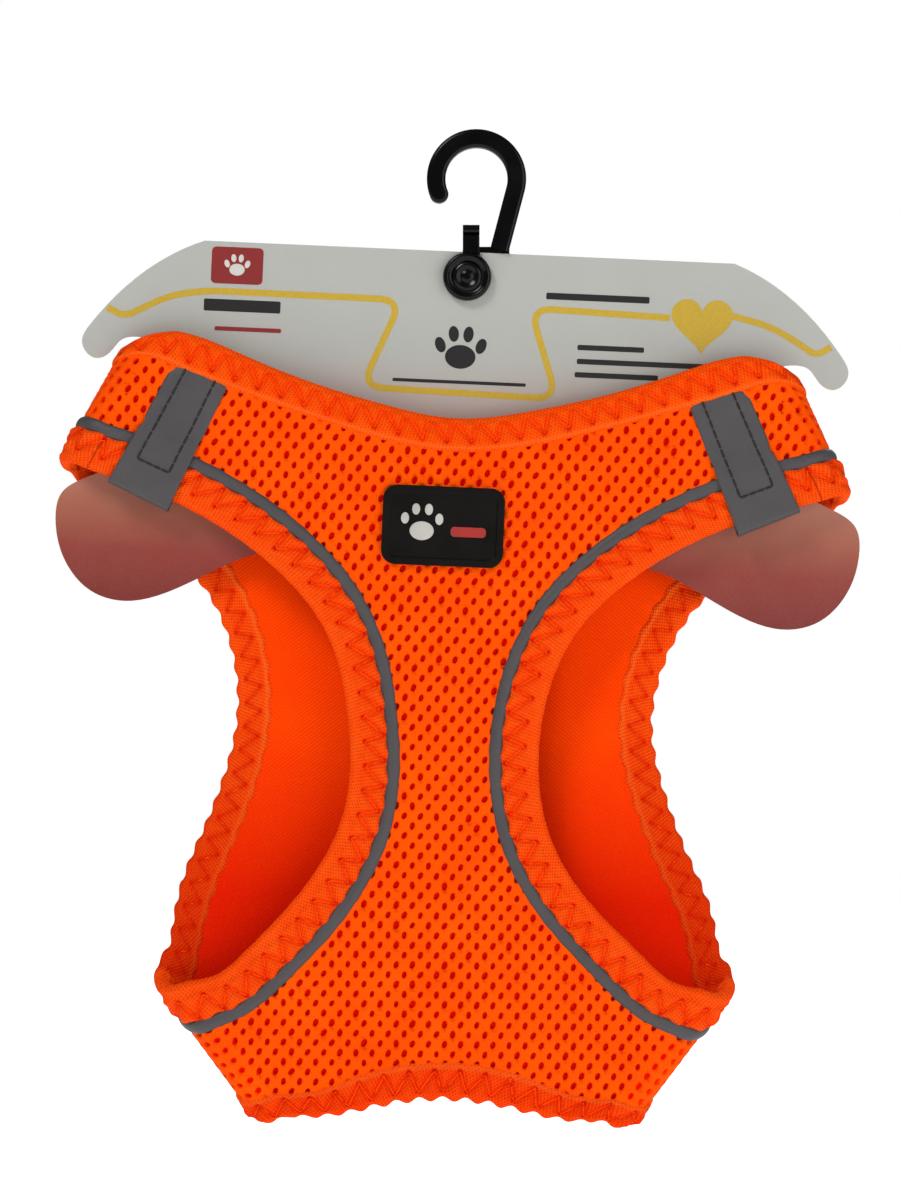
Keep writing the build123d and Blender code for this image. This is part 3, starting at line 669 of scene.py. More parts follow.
AIR_MESH = mesh_material()
MESH_DEEP = backing_material()
NECK_TAPE = tape_material("neck_tape", (248, 66, 0), (222, 38, 0), (254, 94, 14))
LEG_TAPE = tape_material("leg_tape", (248, 62, 2), (220, 36, 0), (254, 94, 20))
HEM_TAPE = tape_material("hem_tape", (240, 50, 0), (208, 26, 0), (250, 78, 12))
THREAD = plastic_material("orange_thread", (234, 66, 4), 0.8, 0.95, 3000, 0.0001, **FABRIC)
TWILL = lining_material()
REFLECTIVE = reflective_material()
WEBBING = webbing_material()
PILE = pile_material()
GLOSS_BLACK = plastic_material(
    "gloss_black", (1, 1, 1), 0.14, 0.28, 900, 0.00003, Specular_IOR_Level=0.2,
)
BUCKLE_BLACK = plastic_material("buckle_black", (18, 18, 19), 0.42, 0.56, 3200, 0.00006)
RUBBER = plastic_material(
    "label_rubber", (4, 2, 1), 0.4, 0.55, 2600, 0.00005, Specular_IOR_Level=0.15,
)
WHITE_PRINT = plastic_material("white_print", (154, 152, 146), 0.5, 0.65, 2600, 0.00004)
RED_PRINT = plastic_material("red_print", (134, 22, 12), 0.5, 0.65, 2600, 0.00004)
BLACK_THREAD = plastic_material("black_thread", (24, 20, 18), 0.7, 0.9, 5200, 0.00008)
STEEL = metal_material()
CARD = card_material()
GOLD_INK = ink_material("gold_ink", (202, 168, 48))
BLACK_INK = ink_material("black_ink", (24, 20, 20))
RED_INK = ink_material("red_ink", (140, 34, 34))
WHITE_INK = ink_material("white_ink", (214, 212, 206))


# ---------- bands of tape ----------

class Band:
    """The two edge lines of a tape with the cloth's normal, station by station."""

    def __init__(self, spans, closed):
        self.closed = closed
        self.mesh_side = soften(np.vstack([s[0] for s in spans]), 7, closed)
        self.free_side = soften(np.vstack([s[1] for s in spans]), 7, closed)
        normal = soften(np.vstack([s[2] for s in spans]), 3, closed)
        self.normal = normal / np.linalg.norm(normal, axis=1, keepdims=True)
        self.lift = soften(np.concatenate([s[3] for s in spans]), 3, closed)
        self.width = np.linalg.norm(self.free_side - self.mesh_side, axis=1)
        middle = self.at(np.full(len(self.lift), 0.5), np.full(len(self.lift), MIDDLE)) / MM
        step = np.linalg.norm(np.diff(middle, axis=0), axis=1)
        self.far = np.r_[0, np.cumsum(step)]
        self.length = self.far[-1]
        if closed:
            self.length += np.linalg.norm(middle[0] - middle[-1])
        self.teeth = max(1, round(self.length / ZIG))
        self.pitch = self.length / self.teeth

    def at(self, share, r):
        """Points at a share of the width and a distance r, one row for each station."""
        share, r = np.asarray(share, float), np.asarray(r, float)
        wide = share.ndim == 2
        a, b, n = self.mesh_side, self.free_side, self.normal
        rise = self.lift
        if wide:
            a, b, rise = a[:, None], b[:, None], rise[:, None]
            n = np.broadcast_to(n[:, None], share.shape + (3,))
        base = a + (b - a) * share[..., None]
        return lay(base, n, r + rise)

    def spot(self, far, x, r):
        """Points at chosen distances along the band, x across it and r out."""
        lines = (*self.mesh_side.T, *self.free_side.T, *self.normal.T)
        pick = [np.interp(far, self.far, line) for line in lines]
        a, b, n = columns(*pick[:2]), columns(*pick[2:4]), columns(*pick[4:])
        n /= np.linalg.norm(n, axis=1, keepdims=True)
        base = a + (b - a) * (x / float(np.median(self.width)))[:, None]
        return lay(base, n, r + np.interp(far, self.far, self.lift))


def flat_span(first, second, side, rear, count, reverse=False, jogged=False):
    """A run of tape on the flat front or rear, between two pattern lines."""
    a, b = curve_through(first, count), curve_through(second, count)
    if reverse:
        a, b = a[::-1], b[::-1]
    rise = lift(a[:, 0]) if jogged else np.zeros(count)
    lines = sway(side * a[:, 0], a[:, 1]), sway(side * b[:, 0], b[:, 1])
    return *lines, facing(count, 1.0 if rear else -1.0), rise


def turn_span(fold, ends, side, to_rear):
    """A run of tape that turns round a fold."""
    count = 46
    turn = np.linspace(0, math.pi, count + 2)[1:-1]
    if not to_rear:
        turn = turn[::-1]
    a, normal = wrapped(fold, side, ends[0], turn)
    b, _ = wrapped(fold, side, ends[1], turn)
    return a, b, normal, np.zeros(count)


def leg_band(front, rear, shoulder, hip, side):
    """A tape all round one leg opening."""
    return Band([
        flat_span(*front, side, False, 500),
        turn_span(SIDE, hip, side, True),
        flat_span(*rear, side, True, 300, reverse=True),
        turn_span(SHOULDER, shoulder, side, False),
    ], True)


def edge_band(front_in, front_out, rear_in, rear_out, fold, ends_in_out):
    """A tape along the neck or the hem, from the left flap's end to the right's."""
    front_in, front_out = (
        np.vstack([[(-u, v) for u, v in line[:0:-1]], line]) for line in (front_in, front_out)
    )
    return Band([
        flat_span(rear_in, rear_out, -1, True, 250, reverse=True),
        turn_span(fold, ends_in_out, -1, False),
        flat_span(front_in, front_out, 1, False, 420),
        turn_span(fold, ends_in_out, 1, True),
        flat_span(rear_in, rear_out, 1, True, 250, jogged=True),
    ], False)


def zigzag(share):
    """0 to 1 across the stitch for a share of one tooth: a steep side, then a slanted one."""
    share = share % 1.0
    return np.where(share < ZIG_STEEP, share / ZIG_STEEP, (1 - share) / (1 - ZIG_STEEP))


def tape_relief(band, far, x, low, high, lip_at):
    """Height, painted shade and lip of a sewn tape at distances far along and x across it."""
    tooth = far / band.pitch
    line = low + (high - low) * zigzag(tooth)
    run = np.where(tooth % 1.0 < ZIG_STEEP, ZIG_STEEP, 1 - ZIG_STEEP) * band.pitch
    gap = np.abs(x - line) / np.sqrt(1 + ((high - low) / run) ** 2)
    inside = np.clip((x - low + STITCH_MARGIN) / STITCH_MARGIN, 0, 1)
    inside = inside * np.clip((high + STITCH_MARGIN - x) / STITCH_MARGIN, 0, 1)
    corner_high = np.hypot((((tooth - ZIG_STEEP) + 0.5) % 1.0 - 0.5) * band.pitch, x - high)
    corner_low = np.hypot(((tooth + 0.5) % 1.0 - 0.5) * band.pitch, x - low)
    groove = inside * np.exp(-(gap / GROOVE_W) ** 2)
    pit = np.exp(-(np.minimum(corner_high, corner_low) / PIT_W) ** 2)
    puff = inside * (1 - np.exp(-(gap / PUFF_REACH) ** 2))
    lip = np.exp(-((x - lip_at) / LIP_W) ** 2)
    uneven = 0.14 * np.sin(far * 0.9 + 2 * x) * np.sin(far * 0.31 + 1.0)
    height = PUFF * puff - GROOVE_DEPTH * groove - PIT_DEPTH * pit + LIP_HEIGHT * lip + uneven
    # painted shade: a broad darkening along the stitch line, added to the groove and the needle pits
    painted_broad_shade = inside * np.exp(-(gap / SHADE_W) ** 2)
    return height, np.clip(0.3 * groove + 0.4 * painted_broad_shade + pit, 0, 1), lip


def tape_piece(name, band, material, outer, inner, scallop):
    """A sewn tape as one closed form: crowned outer face, rolled free edge, inner face.

    outer and inner are (low, high, lip) for their stitches. scallop is how far the
    mesh-side edge and the free edge swell, and whether the free edge does so only behind."""
    face, roll, edge = 30, 7, 3
    width = float(np.median(band.width))
    x_out = np.linspace(0.0, width - EDGE_ROLL, face)
    turn = np.linspace(0, math.pi, roll + 2)[1:-1]
    x_roll = width - EDGE_ROLL + EDGE_ROLL * np.sin(turn)
    r_roll = (TAPE_TOP + TAPE_UNDER) / 2 + (TAPE_TOP - TAPE_UNDER) / 2 * np.cos(turn)
    r_edge = np.linspace(TAPE_UNDER, TAPE_TOP, edge + 2)[1:-1]
    x = np.concatenate([x_out, x_roll, x_out[::-1], np.full(edge, -0.25)])
    r = np.concatenate([np.full(face, TAPE_TOP), r_roll, np.full(face, TAPE_UNDER), r_edge])
    far, across = np.meshgrid(band.far, x, indexing="ij")
    radius = np.tile(r, (len(band.far), 1))
    tone, lips = np.ones_like(far), np.zeros_like(far)
    flatter = 1 - REAR_FLATTER * np.clip(band.normal[:, 1:2], 0, 1)
    flatter = flatter * np.clip(band.width[:, None] / width, 0, 1) ** 2
    outer_cols, inner_cols = slice(0, face), slice(face + roll, 2 * face + roll)
    for cols, stitch, way in ((outer_cols, outer, 1), (inner_cols, inner, -1)):
        height, groove, lip = tape_relief(band, far[:, cols], across[:, cols], *stitch)
        drop = EDGE_DROP * np.exp(-(across[:, cols] / EDGE_DROP_W) ** 2)
        radius[:, cols] += way * (height * flatter - drop)
        # painted shade in the grooves and pits lowers the painted light level
        tone[:, cols], lips[:, cols] = 1 - groove, lip
    wave = 0.5 - 0.5 * np.cos(2 * math.pi * (far / band.pitch - ZIG_STEEP))
    near_mesh = np.exp(-(np.clip(across, 0, None) / MESH_SIDE_REACH) ** 2)
    near_free = np.exp(-(np.clip(width - across, 0, None) / FREE_SIDE_REACH) ** 2)
    mesh_swell, free_swell, only_behind = scallop
    behind = np.clip(band.normal[:, 1:2] + 0.1, 0.1, 1) if only_behind else 1.0
    across = across - mesh_swell * wave * near_mesh + free_swell * behind * (wave - 0.5) * near_free
    points = band.at(across / width, radius)
    return outward(new_piece(
        name, points.reshape(-1, 3), loft_faces(*far.shape, band.closed), material,
        "harness", "binding", cloth=columns(far, across, radius).reshape(-1, 3),
        tone=tone.ravel(), lip=np.clip(lips, 0, 1).ravel(),
    ))


def zigzag_thread(name, band, stitch, top):
    """The zigzag's thread, lying in its groove on the face at distance top."""
    low, high, _ = stitch
    per_tooth = 12
    tooth = np.arange(0, band.teeth * per_tooth + (0 if band.closed else 1)) / per_tooth
    far = np.clip(tooth * band.pitch, 0, band.far[-1])
    x = low + (high - low) * zigzag(tooth)
    turn = tooth % 1.0
    steep = np.where(turn < ZIG_STEEP, turn / ZIG_STEEP, (turn - ZIG_STEEP) / (1 - ZIG_STEEP))
    sink = THREAD_SINK - THREAD_ARCH * np.clip(np.sin(math.pi * steep), 0, 1) ** 0.6
    way = 1 if top > MIDDLE else -1
    path = band.spot(far, x, np.full(len(far), top) - way * sink)
    return thread_piece(name, [(path, band.closed)], THREAD_R * MM, THREAD, "binding")


def piping_piece(name, band):
    """The reflective piping: an oval section, slightly uneven along its length."""
    sides = 16
    turn = circle(sides)
    far, angle = np.meshgrid(band.far, turn, indexing="ij")
    swell = 1 + 0.035 * np.sin(far * 0.8) + 0.03 * np.sin(far * 0.23 + 1)
    share = 0.5 + 0.54 * np.cos(angle) * swell
    radius = PIPING_MID + PIPING_HEIGHT * np.sin(angle) * swell
    points = band.at(share, radius)
    return outward(new_piece(
        name, points.reshape(-1, 3), loft_faces(*far.shape, band.closed), REFLECTIVE,
        "harness", "reflective",
    ))


# ---------- knitted mesh and lining panels ----------

def cloth_map(u, v):
    """Flat cloth coordinates to world base points, normals and rise.

    The cloth runs on past the fold lines: round the fold and back across the rear."""
    side, reach = np.where(u < 0, -1.0, 1.0), np.abs(u)
    base = sway(u, v)
    normal = np.tile([0.0, -1.0, 0.0], u.shape + (1,))
    rise = np.zeros(u.shape)
    past, rear = np.zeros(u.shape), np.stack([reach, v], -1)
    for fold, chosen in ((SHOULDER, v > FOLD_SPLIT_V), (SIDE, v <= FOLD_SPLIT_V)):
        g = np.array(fold["along"])
        n = np.array([-g[1], g[0]])
        n *= math.copysign(1, n[0])
        off = np.stack([reach - fold["at"][0], v - fold["at"][1]], -1)
        d, s = off @ n, off @ g
        past = np.where(chosen, d, past)
        slip = gather(fold, s) * (np.exp(-((d - WRAP) / GATHER_REACH) ** 2) - 1)
        back = np.array(fold["at"]) + (rear_s(fold, s) + slip)[..., None] * g
        back = back - (d - WRAP)[..., None] * n
        for sign in (-1.0, 1.0):
            turning = chosen & (side == sign) & (d > 0) & (d < WRAP)
            if turning.any():
                base[turning], normal[turning] = wrapped(fold, sign, s[turning], d[turning] / MIDDLE)
            behind = chosen & (side == sign) & (d >= WRAP)
            if behind.any():
                base[behind] = sway(sign * back[behind][:, 0], back[behind][:, 1])
                normal[behind] = (0.0, 1.0, 0.0)
                rear[behind] = back[behind]
                if sign > 0:
                    rise[behind] = lift(back[behind][:, 0])
    return base, normal, rise, past, rear


def fold_place(fold, u, v):
    """Distance along a fold line that a cloth point belongs to."""
    return columns(np.abs(u) - fold["at"][0], v - fold["at"][1]) @ np.array(fold["along"])


def within(points, outline, margin):
    """Which points lie inside an outline, or less than margin outside it."""
    x, y = points[:, 0], points[:, 1]
    inside = np.zeros(len(points), bool)
    nearest = np.full(len(points), 1e9)
    for (ax, ay), (bx, by) in zip(outline, np.roll(outline, -1, 0)):
        crossing = (ay > y) != (by > y)
        with np.errstate(divide="ignore", invalid="ignore"):
            inside ^= crossing & (x < (bx - ax) * (y - ay) / (by - ay) + ax)
        length = (bx - ax) ** 2 + (by - ay) ** 2 + 1e-12
        share = np.clip(((x - ax) * (bx - ax) + (y - ay) * (by - ay)) / length, 0, 1)
        gap = np.hypot(x - ax - share * (bx - ax), y - ay - share * (by - ay))
        nearest = np.minimum(nearest, gap)
    return np.where(inside, -nearest, nearest) < margin


def dense(*lines):
    """One outline from several lines of pattern points."""
    return np.vstack([curve_through(line, 60) for line in lines])


def front_outline(leg_line):
    neck = np.vstack([NECK_LOW, on_fold(SHOULDER, SHOULDER_NECK[1])])
    hem = np.vstack([HEM_TOP, on_fold(SIDE, SIDE_HEM[1])])
    return dense(neck, leg_line, hem[::-1])


def rear_outline(leg_line):
    neck = rear_line(REAR_NECK_TOP, SHOULDER, SHOULDER_NECK[1], REAR_EDGE_W)
    hem = rear_line(REAR_HEM_LOW, SIDE, SIDE_HEM[1], -REAR_EDGE_W)
    return dense(neck[::-1], leg_line, hem)


def fold_runs(leg_shoulder, leg_side, margin):
    """Each fold with the stretch of it that a panel's cloth turns round."""
    return (
        (SHOULDER, (SHOULDER_NECK[1] - margin, leg_shoulder + margin)),
        (SIDE, (SIDE_HEM[1] - margin, leg_side + margin)),
    )


def chosen_cells(u, v, panel, leg_edges, margin):
    """Which cloth points belong to a panel: chest, left flap or right flap."""
    front_edge, rear_edge, leg_shoulder, leg_side = leg_edges
    _, _, _, past, rear = cloth_map(u, v)
    if panel == "chest":
        return (past <= 0) & within(columns(np.abs(u), v), front_outline(front_edge), margin)
    side = u < 0 if panel == "left" else u > 0
    upper = v > FOLD_SPLIT_V
    on_run = []
    for fold, (first, last) in fold_runs(leg_shoulder, leg_side, margin):
        s = fold_place(fold, u, v)
        on_run.append((s > first) & (s < last))
    turning = (past > 0) & (past < WRAP) & np.where(upper, *on_run)
    half = np.where(upper, rear[:, 1] > STRAP_V - 1, rear[:, 1] <= STRAP_V + 1)
    behind = (past >= WRAP) & half & within(rear, rear_outline(rear_edge), margin)
    behind &= rear[:, 0] > FLAP_END + FLAP_MESH_GAP
    return side & (turning | behind)


def lattice(width, height):
    """Centres of cloth cells over the whole range, in staggered rows."""
    rows, cells = np.arange(-150, 40), np.arange(-75, 76)
    j, i = np.meshgrid(rows, cells, indexing="ij")
    return (i * width + (j % 2) * (width / 2)).ravel(), (j * height).ravel()


def merged(key):
    """Joins vertices with the same key: the ones kept, and every vertex's new index."""
    rounded_key = np.round(key * 200).astype(int)
    _, first, index = np.unique(rounded_key, axis=0, return_index=True, return_inverse=True)
    return first, index.ravel()


def mesh_panel(name, panel):
    """Air mesh: a staggered lattice of cells, each with a real hole through its top layer."""
    u, v = lattice(CELL_W, CELL_H)
    keep = chosen_cells(u, v, panel, PIPING_EDGES, MESH_TUCK)
    u, v = u[keep], v[keep]
    q, h = CELL_W / 4, CELL_H / 2
    rim = np.array([
        (2 * q, 0), (2 * q, h), (q, h), (0, h), (-q, h), (-2 * q, h),
        (-2 * q, 0), (-2 * q, -h), (-q, -h), (0, -h), (q, -h), (2 * q, -h),
    ])
    turn = np.arctan2(rim[:, 1] / h, rim[:, 0] / (2 * q))
    slant = RANDOM.normal(HOLE_SLANT, 0.13, len(u))[:, None]
    size = RANDOM.normal(1.0, 0.06, len(u))[:, None]
    ex, ey = HOLE_A * np.cos(turn) * size, HOLE_B * np.sin(turn) * size
    hole = columns(ex * np.cos(slant) - ey * np.sin(slant), ex * np.sin(slant) + ey * np.cos(slant))
    centre = columns(u, v)[:, None]
    # each ring's painted light level is painted shade, darkening the hole walls downwards
    rings = [(centre + rim, CELL_RIM_RISE, 1.0)]
    rings += [(centre + hole * share, depth, tone) for share, depth, tone in HOLE_RINGS]
    flat = np.concatenate([ring for ring, _, _ in rings], 1).reshape(-1, 2)
    depth = np.tile(np.repeat([ring[1] for ring in rings], len(rim)), len(u))
    tone = np.tile(np.repeat([ring[2] for ring in rings], len(rim)), len(u))
    base, normal, rise, _, _ = cloth_map(flat[:, 0], flat[:, 1])
    points = lay(base, normal, MESH_TOP + depth + rise)
    first, new = merged(np.column_stack([flat, depth]))
    index = new[np.arange(len(flat)).reshape(len(u), len(rings), len(rim))]
    after = np.roll(index, -1, 2)
    quads = columns(index[:, :-1], after[:, :-1], after[:, 1:], index[:, 1:]).reshape(-1, 4)
    faces = [tuple(f) for f in quads.tolist()]
    cloth = np.column_stack([flat, np.zeros(len(flat))])[first]
    return new_piece(
        name, points[first], faces, AIR_MESH, "harness", "air_mesh", cloth=cloth, tone=tone[first],
    )


def squares(u, v, size):
    """Corner points and quads of square cells about their centres, sharing corners."""
    corner = np.array([(-1, -1), (1, -1), (1, 1), (-1, 1)]) * size / 2
    flat = (columns(u, v)[:, None] + corner).reshape(-1, 2)
    first, new = merged(flat)
    return flat[first], new.reshape(-1, 4)


def turned_band(fold, side, ends, r, step):
    """A grid of cloth round a fold, running a little way on to the front and the rear."""
    run_on = 0.12
    turn = np.linspace(-run_on, math.pi + run_on, 26)
    s = np.linspace(ends[0], ends[1], max(3, round((ends[1] - ends[0]) / step)))
    s, turn = np.meshgrid(s, turn, indexing="ij")
    base, normal = wrapped(fold, side, s, np.clip(turn, 0, math.pi))
    _, _, out, _ = fold_frame(fold, side)
    past = np.where(turn < 0, turn, np.where(turn > math.pi, math.pi - turn, 0)) * MIDDLE
    base = base + past[..., None] * out
    cloth = columns(turn * MIDDLE, s, np.zeros(s.shape)).reshape(-1, 3)
    points = lay(base, normal, np.full(s.shape, r)).reshape(-1, 3)
    return points, np.array(grid_faces(*s.shape)), cloth, (ends[1] - ends[0]) * WRAP


def sheet_cells(panel, r, margin, leg_edges):
    """Points, quads, cloth places and flat area in mm2 of a smooth layer over a panel."""
    front_edge, rear_edge, leg_shoulder, leg_side = leg_edges
    rows, cells = np.arange(-100, -10) * SHEET_CELL, np.arange(-40, 46) * SHEET_CELL
    v, u = (grid.ravel() for grid in np.meshgrid(rows, cells, indexing="ij"))
    front = panel == "chest"
    outline = front_outline(front_edge) if front else rear_outline(rear_edge)
    keep = within(columns(np.abs(u) if front else u, v), outline, margin)
    flat, quads = squares(u[keep], v[keep], SHEET_CELL)
    cloth, area = np.column_stack([flat, flat[:, 0] * 0]), keep.sum() * SHEET_CELL ** 2
    if front:
        points = lay(sway(*flat.T), facing(len(flat), -1.0), np.full(len(flat), r))
        return points, quads.tolist(), cloth, area
    side = -1 if panel == "left" else 1
    rise = lift(flat[:, 0]) if side > 0 else np.zeros(len(flat))
    rear = lay(sway(side * flat[:, 0], flat[:, 1]), facing(len(flat), 1.0), r + rise)
    parts = [(rear, quads, cloth, area)]
    parts += [
        turned_band(fold, side, ends, r + 0.02, SHEET_CELL)
        for fold, ends in fold_runs(leg_shoulder, leg_side, margin)
    ]
    starts = np.cumsum([0] + [len(part[0]) for part in parts])
    turned = slice(None, None, -1 if side > 0 else 1)
    faces = np.vstack([part[1][:, turned] + start for part, start in zip(parts, starts)])
    return (
        np.vstack([part[0] for part in parts]), faces.tolist(),
        np.vstack([part[2] for part in parts]), sum(part[3] for part in parts),
    )


BINDING_EDGES = FRONT_LINE, REAR_LINE, SHOULDER_BINDING[0], SIDE_BINDING[0]
PIPING_EDGES = FRONT_PIPING, REAR_PIPING, SHOULDER_PIPING[0], SIDE_PIPING[0]


def backing(name, panel):
    """The spacer knit's inner face behind the holes."""
    points, faces, cloth, _ = sheet_cells(panel, MESH_BACK, BACK_TUCK, PIPING_EDGES)
    piece = new_piece(name, points, faces, MESH_DEEP, "harness", "air_mesh", cloth=cloth)
    thicken(piece, BACK_THICK)
    return piece


def thicken(piece, thickness):
    """Gives a sheet its thickness, inwards from its face."""
    solid = piece.modifiers.new("thickness", "SOLIDIFY")
    solid.thickness = thickness * MM
    solid.offset = -1.0
    return piece


def lining(name, panel):
    """The twill lining of a panel, as a thickened sheet over its flat cut."""
    points, faces, cloth, area = sheet_cells(panel, LINING_OUT - 0.1, LINING_TUCK, BINDING_EDGES)
    piece = new_piece(name, points, faces, TWILL, "harness", "lining", cloth=cloth)
    thicken(piece, LINING_THICK)
    spread = np.ptp(points[:, [0, 2]], axis=0) / MM
    if panel != "chest":
        spread[0] += WRAP - MIDDLE
    return piece


# ---------- stiff pieces ----------

def bevelled(piece, width):
    """Rounds the sharp edges of a piece."""
    piece.data.polygons.foreach_set("use_smooth", [True] * len(piece.data.polygons))
    edge = piece.modifiers.new("edges", "BEVEL")
    edge.width = width * MM
    edge.segments = 3
    edge.limit_method = "ANGLE"
    edge.angle_limit = math.radians(35)
    edge.harden_normals = True


def lathe(name, middle, back_y, profile, material, body, slot):
    """A round piece facing front, from (radius, depth) pairs that start and end on its axis."""
    count = 72
    fine = rounded(profile, MOULDED_EDGE)
    turn = circle(count)
    inner = fine[1:-1]
    x = middle[0] + inner[:, :1] * np.cos(turn)
    z = middle[1] + inner[:, :1] * np.sin(turn)
    y = np.broadcast_to(back_y + inner[:, 1:], x.shape)
    ends = [(middle[0], back_y + depth, middle[1]) for depth in fine[[0, -1], 1]]
    verts = np.vstack([columns(x, y, z).reshape(-1, 3), ends]) * MM
    faces = loft_faces(len(inner), count, False)[:-2]
    first, last, far = len(verts) - 2, len(verts) - 1, (len(inner) - 1) * count
    faces += [(first, (k + 1) % count, k) for k in range(count)]
    faces += [(last, far + k, far + (k + 1) % count) for k in range(count)]
    return outward(new_piece(name, verts, faces, material, body, slot))


def softened(node, name, body, material, width):
    """A moulded piece in a CAD node's place, with its sharp edges rounded."""
    mesh = bpy.data.objects[node].data.copy()
    mesh.name = name
    work = bmesh.new()
    work.from_mesh(mesh)
    bmesh.ops.remove_doubles(work, verts=work.verts, dist=1e-6)
    flat = math.radians(0.6)
    bmesh.ops.dissolve_limit(work, angle_limit=flat, verts=work.verts, edges=work.edges)
    work.to_mesh(mesh)
    work.free()
    if "custom_normal" in mesh.attributes:
        mesh.attributes.remove(mesh.attributes["custom_normal"])
    mesh.materials.clear()
    mesh.materials.append(material)
    piece = add_object(name, mesh)
    bevelled(piece, width)
    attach(piece, body)
    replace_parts(piece, node)
    return piece


def finish_node(node, material):
    """Gives a CAD node that is shown as it is its material."""
    shown = bpy.data.objects[node]
    if not shown.data.materials:
        shown.data.materials.append(material)
    for index in range(len(shown.material_slots)):
        shown.material_slots[index].material = material


def plate(name, outline, low_y, high_y, material, body, slot):
    """A flat plate from an outline in metres (x, z), from low_y to high_y."""
    count = len(outline)
    front = [(x, low_y, z) for x, z in outline]
    back = [(x, high_y, z) for x, z in outline]
    faces = [tuple(range(count)), tuple(range(count, 2 * count))[::-1]]
    faces += [(k, (k + 1) % count, count + (k + 1) % count, count + k) for k in range(count)]
    return outward(new_piece(name, front + back, faces, material, body, slot, smooth=False))


def print_on_card(name, outline, material, layer=1):
    """A printed area on the card's front, from pattern points."""
    corners = sway(np.asarray(outline)[:, 0], np.asarray(outline)[:, 1]) * MM
    front = (CARD_FRONT_Y - INK_STEP * layer) * MM
    rear = (CARD_FRONT_Y + INK_SUNK) * MM
    return plate(name, corners, front, rear, material, "harness", "card_board")


def rounded(points, radius):
    """A line of points with each corner turned into a smooth bend."""
    p = np.asarray(points, float)
    line = [p[0]]
    for before, corner, after in zip(p, p[1:], p[2:]):
        into, away = before - corner, after - corner
        cut = min(radius, 0.45 * np.linalg.norm(into), 0.45 * np.linalg.norm(away))
        start = corner + into / np.linalg.norm(into) * cut
        end = corner + away / np.linalg.norm(away) * cut
        for t in np.linspace(0, 1, 9):
            line.append((1 - t) ** 2 * start + 2 * t * (1 - t) * corner + t * t * end)
    line.append(p[-1])
    return np.array(line)


def box_outline(u, v, width, height, radius=0.6):
    """A rectangle with rounded corners, from its middle."""
    w, h = width / 2, height / 2
    ring = [(0, h), (w, h), (w, -h), (-w, -h), (-w, h), (0, h)]
    return rounded([(u + du, v + dv) for du, dv in ring], radius)[:-1]


def ribbon_outline(points, width):
    """The outline of a line of constant width."""
    return np.vstack([shifted(points, width / 2), shifted(points, -width / 2)[::-1]])


# ================= the object =================

# ---- camera and light ----
CAMERA_AT = (-0.00795, -1.2, -0.1263)
camera_data = bpy.data.cameras.new("camera")
camera_data.lens = 120.0
camera_data.sensor_width = 36.0
camera = add_object("camera", camera_data)
camera.location = CAMERA_AT
camera.rotation_euler = (math.radians(90), 0, 0)
bpy.context.scene.camera = camera
bpy.context.scene.view_settings.view_transform = "Standard"


def area_light(name, location, target, size, power):
    data = bpy.data.lights.new(name, "AREA")
    data.shape = "DISK"
    data.size = size
    data.energy = power
    light = add_object(name, data)
    light.location = location
    way = Vector(target) - Vector(location)
    light.rotation_euler = way.to_track_quat("-Z", "Y").to_euler()


CENTRE = (-0.008, 0.0, -0.14)
area_light("key_light", (-0.6, -0.9, 0.85), CENTRE, 0.5, 9.6)
area_light("fill_light", (0.8, -0.9, 0.1), CENTRE, 1.0, 5.0)
area_light("rear_light", (0.3, 1.1, 0.6), CENTRE, 0.9, 7.0)


def studio_world():
    """Plain white behind everything, and a softer even light on the object."""
    world = bpy.data.worlds.new("studio")
    bpy.context.scene.world = world
    world.use_nodes = True
    nodes, links = world.node_tree.nodes, world.node_tree.links
    nodes.clear()
    output = nodes.new("ShaderNodeOutputWorld")
    seen, lit = nodes.new("ShaderNodeBackground"), nodes.new("ShaderNodeBackground")
    for node, strength in ((seen, 1.0), (lit, 0.2)):
        node.inputs["Color"].default_value = (1, 1, 1, 1)
        node.inputs["Strength"].default_value = strength
    path, mix = nodes.new("ShaderNodeLightPath"), nodes.new("ShaderNodeMixShader")
    links.new(path.outputs["Is Camera Ray"], mix.inputs[0])
    links.new(lit.outputs[0], mix.inputs[1])
    links.new(seen.outputs[0], mix.inputs[2])
    links.new(mix.outputs[0], output.inputs["Surface"])


studio_world()


def studio_floor():
    """A pale round floor below the hanging harness."""
    radius, z, count = 1.6, -0.335, 96
    turn = circle(count)
    rim = [(radius * math.cos(a), radius * math.sin(a), z) for a in turn]
    g = Nodes("studio_floor")
    colour = g.mix(g.noise(g.place(), 6), (0.93, 0.93, 0.93, 1), (0.97, 0.97, 0.97, 1))
    g.done(colour, 0.8, None, Emission_Color=(1, 1, 1, 1), Emission_Strength=0.68)
    mesh = bpy.data.meshes.new("floor")
    mesh.from_pydata(rim, [], [tuple(range(count))])
    mesh.materials.append(g.material)
    add_object("floor", mesh)


studio_floor()

# ---- cloth panels ----
for panel, start in (("chest", "chest"), ("left", "left_flap"), ("right", "right_flap")):
    air_mesh = mesh_panel(f"{start}_air_mesh", panel)
    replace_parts(air_mesh, f"{start}_mesh")
    backing(f"{start}_mesh_back", panel)
    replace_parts(lining(f"{start}_twill", panel), f"{start}_lining")

# ---- bindings and piping ----


def edge_tape(name, fold, ends, front_in, front_out, rear, rear_w, material, stitch, scallop):
    """The tape all along the neck or the hem, with its stitching."""
    outer_s, inner_s = ends
    band = edge_band(
        np.vstack([front_in, on_fold(fold, inner_s)]), np.vstack([front_out, on_fold(fold, outer_s)]),
        rear_line(rear, fold, inner_s, rear_w), rear_line(rear, fold, outer_s, 0.0),
        fold, (inner_s, outer_s),
    )
    tape = tape_piece(f"{name}_tape", band, material, stitch, stitch, scallop)
    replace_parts(tape, f"{name}_binding")
    zigzag_thread(f"{name}_stitching", band, stitch, TAPE_TOP)


